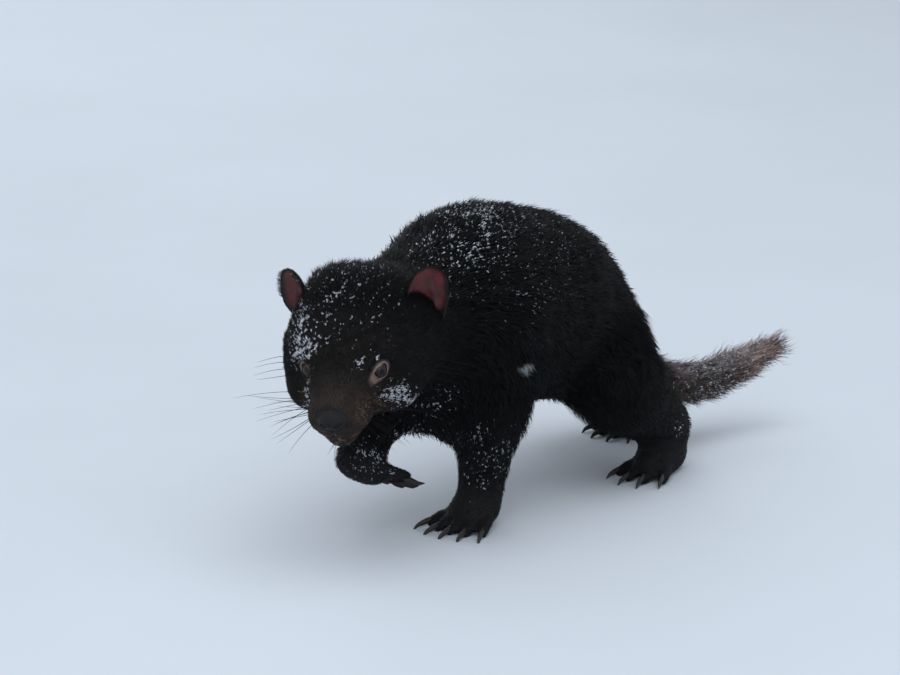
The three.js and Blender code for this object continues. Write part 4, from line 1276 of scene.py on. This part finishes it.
class DEVIL_OT_coat(bpy.types.Operator):
    """Tufts over the whole body that follow the lie of the coat, smallest on the face and feet"""

    bl_idname = "devil.coat"
    bl_label = "Coat"

    def execute(self, context):
        self.rng = np.random.default_rng(size().seed)
        self.skin = Skin()
        self.material = coat_material(shared_group(), look())
        total = size().tufts
        part = self.skin.part[self.skin.corners[:, 0]]
        free = self.haired()
        head = part == "head"
        muzzle = head & (to_head(self.skin.middle)[:, 0] > -8)
        body, legs, paws = (np.isin(part, names) for names in (("torso", "neck"), LEGS, PAWS))
        # Where each patch grows, its share of the tufts, their rings, widths in millimetres and lift.
        for name, where, share, rings, widths, lift in (
            ("coat_face", muzzle, 0.16, 2, (0.42, 0.56), 0.55),
            ("coat_head", head & ~muzzle, 0.19, 2, (0.62, 0.95), 0.50),
            ("coat_body", body, 0.41, 2, (1.15, 1.6), 0.62),
            ("coat_legs", legs, 0.125, 2, (0.8, 1.2), 0.52),
            ("coat_paws", paws, 0.055, 2, (0.5, 0.7), 0.45),
            ("coat_tail", part == "tail", 0.042, 4, (0.7, 1.3), 0.46),
        ):
            self.tufts(name, free * where, int(total * share), rings, widths, lift)
        self.ear_hair(int(total * 0.022))
        return {"FINISHED"}

    def haired(self):
        """1 for each triangle that hair grows on, down to 0 at the eyes, nose pad, lips and soles."""
        middle = self.skin.middle
        f, l, u = to_head(middle).T
        free = np.ones(len(middle))
        for side, s in SIDES:
            centre, slit, across, way = eye_frame(side, s)
            d = (middle - centre) * 1000
            open_eye = np.hypot((d @ slit - 0.6) / 1.25, d @ across) < 7.6
            patch = np.linalg.norm(middle - bare_corner(side, s), axis=1) < 0.0042
            free *= ~((open_eye & (d @ way > -6)) | patch)
        rim = np.sqrt(((f - 55) / 10.5) ** 2 + (l / 14) ** 2 + ((u + 10) / 10.5) ** 2)
        free *= smooth(0.93, 1.02, rim)
        snout = self.skin.points[to_head(self.skin.points)[:, 0] > -15]
        near = distance_to(lip_line(snout), to_head(middle), (f > -15) & (f < 75))
        return free * smooth(0.8, 2.4, near) * smooth(0.0015, 0.006, middle[:, 2])

    def tufts(self, name, weight, count, rings, widths, lift):
        rng = self.rng
        root, normal, lie, length, uv = self.skin.scatter(weight, count, rng)
        swirl = waves(root, 0.030, 5) * 0.30 + waves(root, 0.009, 8) * 0.22
        side = np.cross(normal, lie)
        lie = unit(lie * np.cos(swirl)[:, None] + side * np.sin(swirl)[:, None])
        length = length * rng.uniform(0.72, 1.18, count) * (1 + 0.10 * waves(root, 0.012, 9))
        width = rng.uniform(*widths, count) / 1000
        lifts = lift * (1 + 0.22 * waves(root, 0.018, 12)) + rng.normal(0, 0.07, count)
        f, l, u = to_head(root).T
        lifts += 0.22 * smooth(30, 55, u) * smooth(-110, -80, f) * smooth(-10, -45, f) * (np.abs(l) < 80)
        self.finish(name, root, normal, lie, length, width, lifts, uv, rings)

    def finish(self, name, root, normal, lie, length, width, lifts, uv, rings, bow=0.62, pale=None):
        rng = self.rng
        points, along = tuft_arrays(root, lie, normal, length, width, lifts, bow, rings, rng)
        points[..., 2] = np.maximum(points[..., 2], 0.0003)
        shade = np.clip(0.5 + 0.22 * waves(root, 0.02, 21) + rng.normal(0, 0.16, len(root)), 0, 1)
        chance = np.zeros(len(root))
        for x, y, z, radius, amount in FROST:
            d = np.linalg.norm(root - placed((x, y, z)), axis=1) * 1000 / radius
            chance = np.maximum(chance, amount * np.exp(-(d**2)))
        chance = chance * (0.75 + 0.5 * waves(root, 0.02, 33))
        frost = np.clip(chance[:, None], 0, 1) * smooth(0.2, 0.45, along)[None]
        if pale is not None:
            frost = np.maximum(frost, pale[:, None] * smooth(0.1, 0.7, along)[None])
        limit = PIECE_TRIANGLES // len(tuft_faces(rings))
        parts = max(1, math.ceil(len(root) / limit))
        order = np.argsort(root[:, 0], kind="stable")
        for i, ids in enumerate(np.array_split(order, parts)):
            label = name if parts == 1 else f"{name}_{i + 1}"
            obj = coat_object(label, points[ids], along, uv[ids], shade[ids], frost[ids], rings)
            settle(obj, self.material)

    def ear_hair(self, count):
        """Short dark hair on the backs of the ears, with a fringe along the rims, pale here and there."""
        rng = self.rng
        for side, s in SIDES:
            back = count // 2
            u, v = rng.uniform(-0.98, 0.98, back), rng.uniform(0.0, 0.99, back) ** 0.9
            fringe = back // 3
            turn = np.linspace(-1, 1, fringe)
            fu = np.sign(turn) * np.minimum(1, (1 - np.abs(turn)) * 3.0)
            fv = np.clip(1 - np.abs(turn) ** 1.4, 0.0, 1.0) * 0.985
            u, v = np.append(u, fu), np.append(v, fv)
            right, left = (ear_points(s, np.clip(u + step, -1, 1), v, 1.0) for step in (0.02, -0.02))
            right -= left
            above = ear_points(s, u, v + 0.01, 1.0) - ear_points(s, u, v - 0.01, 1.0)
            normal = unit(np.cross(above, right))
            normal *= np.sign(-(normal @ ear_axes(s)[2]))[:, None] + 1e-9
            root = from_head(ear_points(s, u, v, 1.0))
            normal = unit(normal @ HEAD_AXES)
            outward = np.append(np.full(back, 0.25), np.full(fringe, 1.1))
            lie = unit(unit(above @ HEAD_AXES) + (outward * np.sign(u))[:, None] * unit(right @ HEAD_AXES))
            length = np.append(rng.uniform(4.0, 6.0, back), rng.uniform(3.0, 5.5, fringe)) / 1000
            width = np.append(rng.uniform(0.45, 0.65, back), rng.uniform(0.28, 0.42, fringe)) / 1000
            lifts = np.append(np.full(back, 0.30), rng.uniform(-0.25, 0.35, fringe))
            pale = np.append(np.zeros(back), (rng.random(fringe) < 0.45) * rng.uniform(0.2, 0.7, fringe))
            uv = np.stack([(u + 1) / 2, v], 1) * 0.96 + 0.02
            self.finish(f"coat_ear_{side}", root, normal, lie, length, width, lifts, uv, 2, 0.4, pale)


# ---------------------------------------------------------------- whiskers
class DEVIL_OT_whiskers(bpy.types.Operator):
    """Long black whiskers on the lips, brows, cheeks and chin"""

    bl_idname = "devil.whiskers"
    bl_label = "Whiskers"

    def execute(self, context):
        rng = np.random.default_rng(size().seed + 1)
        skin = bpy.data.objects["skin"]
        paths, radii = [], []
        long = size().whisker * 1000
        plans = []
        for _, s in SIDES:
            for row in range(4):
                for k in range(4):
                    at = np.array([15 + k * 7.5 + (row % 2) * 3.5, s * (31 - k * 2.6), -12 - row * 4.6])
                    way = np.array([-0.10 + 0.13 * k, s, 0.20 - 0.24 * row])
                    plans.append((at, way, long * (1 - 0.12 * k) * rng.uniform(0.6, 1.0)))
            # Brow, cheek and chin: how many, the first one's place, the step to the next, way, length.
            for count, first, step, way, length, least in (
                (3, (-4, s * 26, 16), (-4, 0, 1), (0.1, s * 0.8, 0.9), 32, 0.8),
                (4, (-30, s * 60, -28), (-4, 0, 4), (-0.1, s, -0.1), 46, 0.7),
                (3, (34, s * 9, -50), (6, 0, 0), (0.2, s * 0.5, -1), 18, 0.8),
            ):
                for k in range(count):
                    at = np.array(first) + k * np.array(step)
                    plans.append((at, np.array(way), length * rng.uniform(least, 1)))
        for at, way, length in plans:
            _, root, normal, _ = skin.closest_point_on_mesh(Vector(head_point(*at)))
            root, normal = np.array(root), np.array(normal)
            way = unit(way @ HEAD_AXES + normal * 0.35 + rng.normal(0, 0.17, 3))
            droop = -HEAD_F * rng.uniform(0.0, 0.5) + np.array([0, 0, -0.35]) + rng.normal(0, 0.12, 3)
            t = np.linspace(0, 1, 9)[:, None]
            length /= 1000
            path = root - normal * 0.0012 + way * length * t + droop * length * 0.55 * t**2
            path[:, 2] = np.maximum(path[:, 2], 0.002)
            paths.append(path)
            radii.append(0.00032 * (1 - 0.8 * t[:, 0]))
        vertices, faces = tube_mesh(paths, radii, 5)
        whiskers = new_object("whiskers", vertices, faces)
        made, tree, shader = material("Whisker")
        cloud = stretch(tree, noise(tree, object_place(tree), 300.0), 0.3, 0.7)
        colour = blend_colour(tree, cloud, (0.004, 0.004, 0.004, 1), (0.014, 0.012, 0.011, 1))
        finish_shader(tree, shader, colour, 0.6, 0.08)
        settle(whiskers, made)
        return {"FINISHED"}


# ---------------------------------------------------------------- fewer faces under the coat
SKIN_SHARE = 0.77  # of the skin's faces that stay
FACE_FROM = -20.0  # millimetres before the eyes, where the skin keeps every face


class DEVIL_OT_lighter_skin(bpy.types.Operator):
    """Fewer faces in the skin behind the face, where the coat hides it"""

    bl_idname = "devil.lighter_skin"
    bl_label = "Lighter skin"

    def execute(self, context):
        skin = bpy.data.objects["skin"]
        hidden = skin.vertex_groups.new(name="hidden")
        behind = np.flatnonzero(to_head(read_points(skin.data))[:, 0] < FACE_FROM)
        hidden.add(behind.tolist(), 1.0, "REPLACE")
        apply_modifier(skin, "DECIMATE", "Thin", ratio=SKIN_SHARE, vertex_group="hidden")
        skin.vertex_groups.clear()
        return {"FINISHED"}


# ---------------------------------------------------------------- stage
class DEVIL_OT_stage(bpy.types.Operator):
    """Pale floor, soft light from overhead, and the camera"""

    bl_idname = "devil.stage"
    bl_label = "Floor, light and camera"

    def execute(self, context):
        bpy.ops.object.select_all(action="DESELECT")
        bpy.ops.mesh.primitive_plane_add(size=40.0, location=(0, 0, 0))
        floor = named("floor")
        made, tree, shader = material("Pale floor")
        soft = stretch(tree, noise(tree, object_place(tree), 3.0), 0.2, 0.8)
        tint = look().floor
        lighter = rgb(min(1.0, c * 1.05) for c in tint)
        finish_shader(tree, shader, blend_colour(tree, soft, rgb(tint), lighter), 0.9, 0.1)
        floor.data.materials.append(made)
        scene = context.scene
        world = scene.world or bpy.data.worlds.new("World")
        scene.world = world
        world.use_nodes = True
        background = world.node_tree.nodes["Background"]
        background.inputs["Color"].default_value = (0.84, 0.89, 0.95, 1)
        background.inputs["Strength"].default_value = 0.79
        for label, place, power, wide in (
            ("Overhead light", (0.5, 0.5, 2.6), 34.0, 2.6),
            ("Side light", (2.2, 1.4, 1.4), 14.0, 1.6),
            ("Back light", (-1.4, -2.2, 1.5), 14.0, 1.8),
        ):
            light = bpy.data.lights.new(label, "AREA")
            light.energy, light.size, light.color = power, wide, (0.93, 0.96, 1.0)
            lamp = bpy.data.objects.new(label, light)
            lamp.location = place
            aim = Vector((0.05, 0.0, 0.12)) - lamp.location
            lamp.rotation_euler = aim.to_track_quat("-Z", "Y").to_euler()
            scene.collection.objects.link(lamp)
        lens = bpy.data.cameras.new("Camera")
        lens.lens, lens.sensor_width, lens.sensor_fit = 189.0, 36.0, "HORIZONTAL"
        lens.clip_start, lens.clip_end = 0.1, 60.0
        camera = bpy.data.objects.new("Camera", lens)
        target = Vector(placed((11.9, -77.8, 143.8))[0])
        camera.location = Vector(placed((3437.1, 2598.2, 1308.5))[0])
        camera.rotation_euler = (target - camera.location).to_track_quat("-Z", "Y").to_euler()
        scene.collection.objects.link(camera)
        scene.camera = camera
        scene.view_settings.view_transform = "Standard"
        return {"FINISHED"}


class DEVIL_PT_panel(bpy.types.Panel):
    """Lists the devil's pieces and values"""

    bl_idname = "DEVIL_PT_panel"
    bl_label = "Tasmanian devil"
    bl_space_type = "VIEW_3D"
    bl_region_type = "UI"
    bl_category = "Devil"

    def draw(self, context):
        layout = self.layout
        for operator in OPERATORS:
            layout.operator(operator.bl_idname)
        for group in (context.scene.devil_size, context.scene.devil_look):
            column = layout.column()
            for key in group.__annotations__:
                column.prop(group, key)


OPERATORS = (
    DEVIL_OT_stage,
    DEVIL_OT_skin,
    DEVIL_OT_eyes,
    DEVIL_OT_nose,
    DEVIL_OT_ears,
    DEVIL_OT_claws,
    DEVIL_OT_coat,
    DEVIL_OT_whiskers,
    DEVIL_OT_lighter_skin,
)
CLASSES = (DevilLook, DevilSize, *OPERATORS, DEVIL_PT_panel)


def register():
    for cls in CLASSES:
        bpy.utils.register_class(cls)
    bpy.types.Scene.devil_look = bpy.props.PointerProperty(type=DevilLook)
    bpy.types.Scene.devil_size = bpy.props.PointerProperty(type=DevilSize)


def unregister():
    del bpy.types.Scene.devil_look
    del bpy.types.Scene.devil_size
    for cls in reversed(CLASSES):
        bpy.utils.unregister_class(cls)


def main():
    register()
    bpy.ops.devil.stage()
    bpy.ops.devil.skin()
    bpy.ops.devil.eyes()
    bpy.ops.devil.nose()
    bpy.ops.devil.ears()
    bpy.ops.devil.claws()
    bpy.ops.devil.coat()
    bpy.ops.devil.whiskers()
    bpy.ops.devil.lighter_skin()


if __name__ == "__main__":
    main()
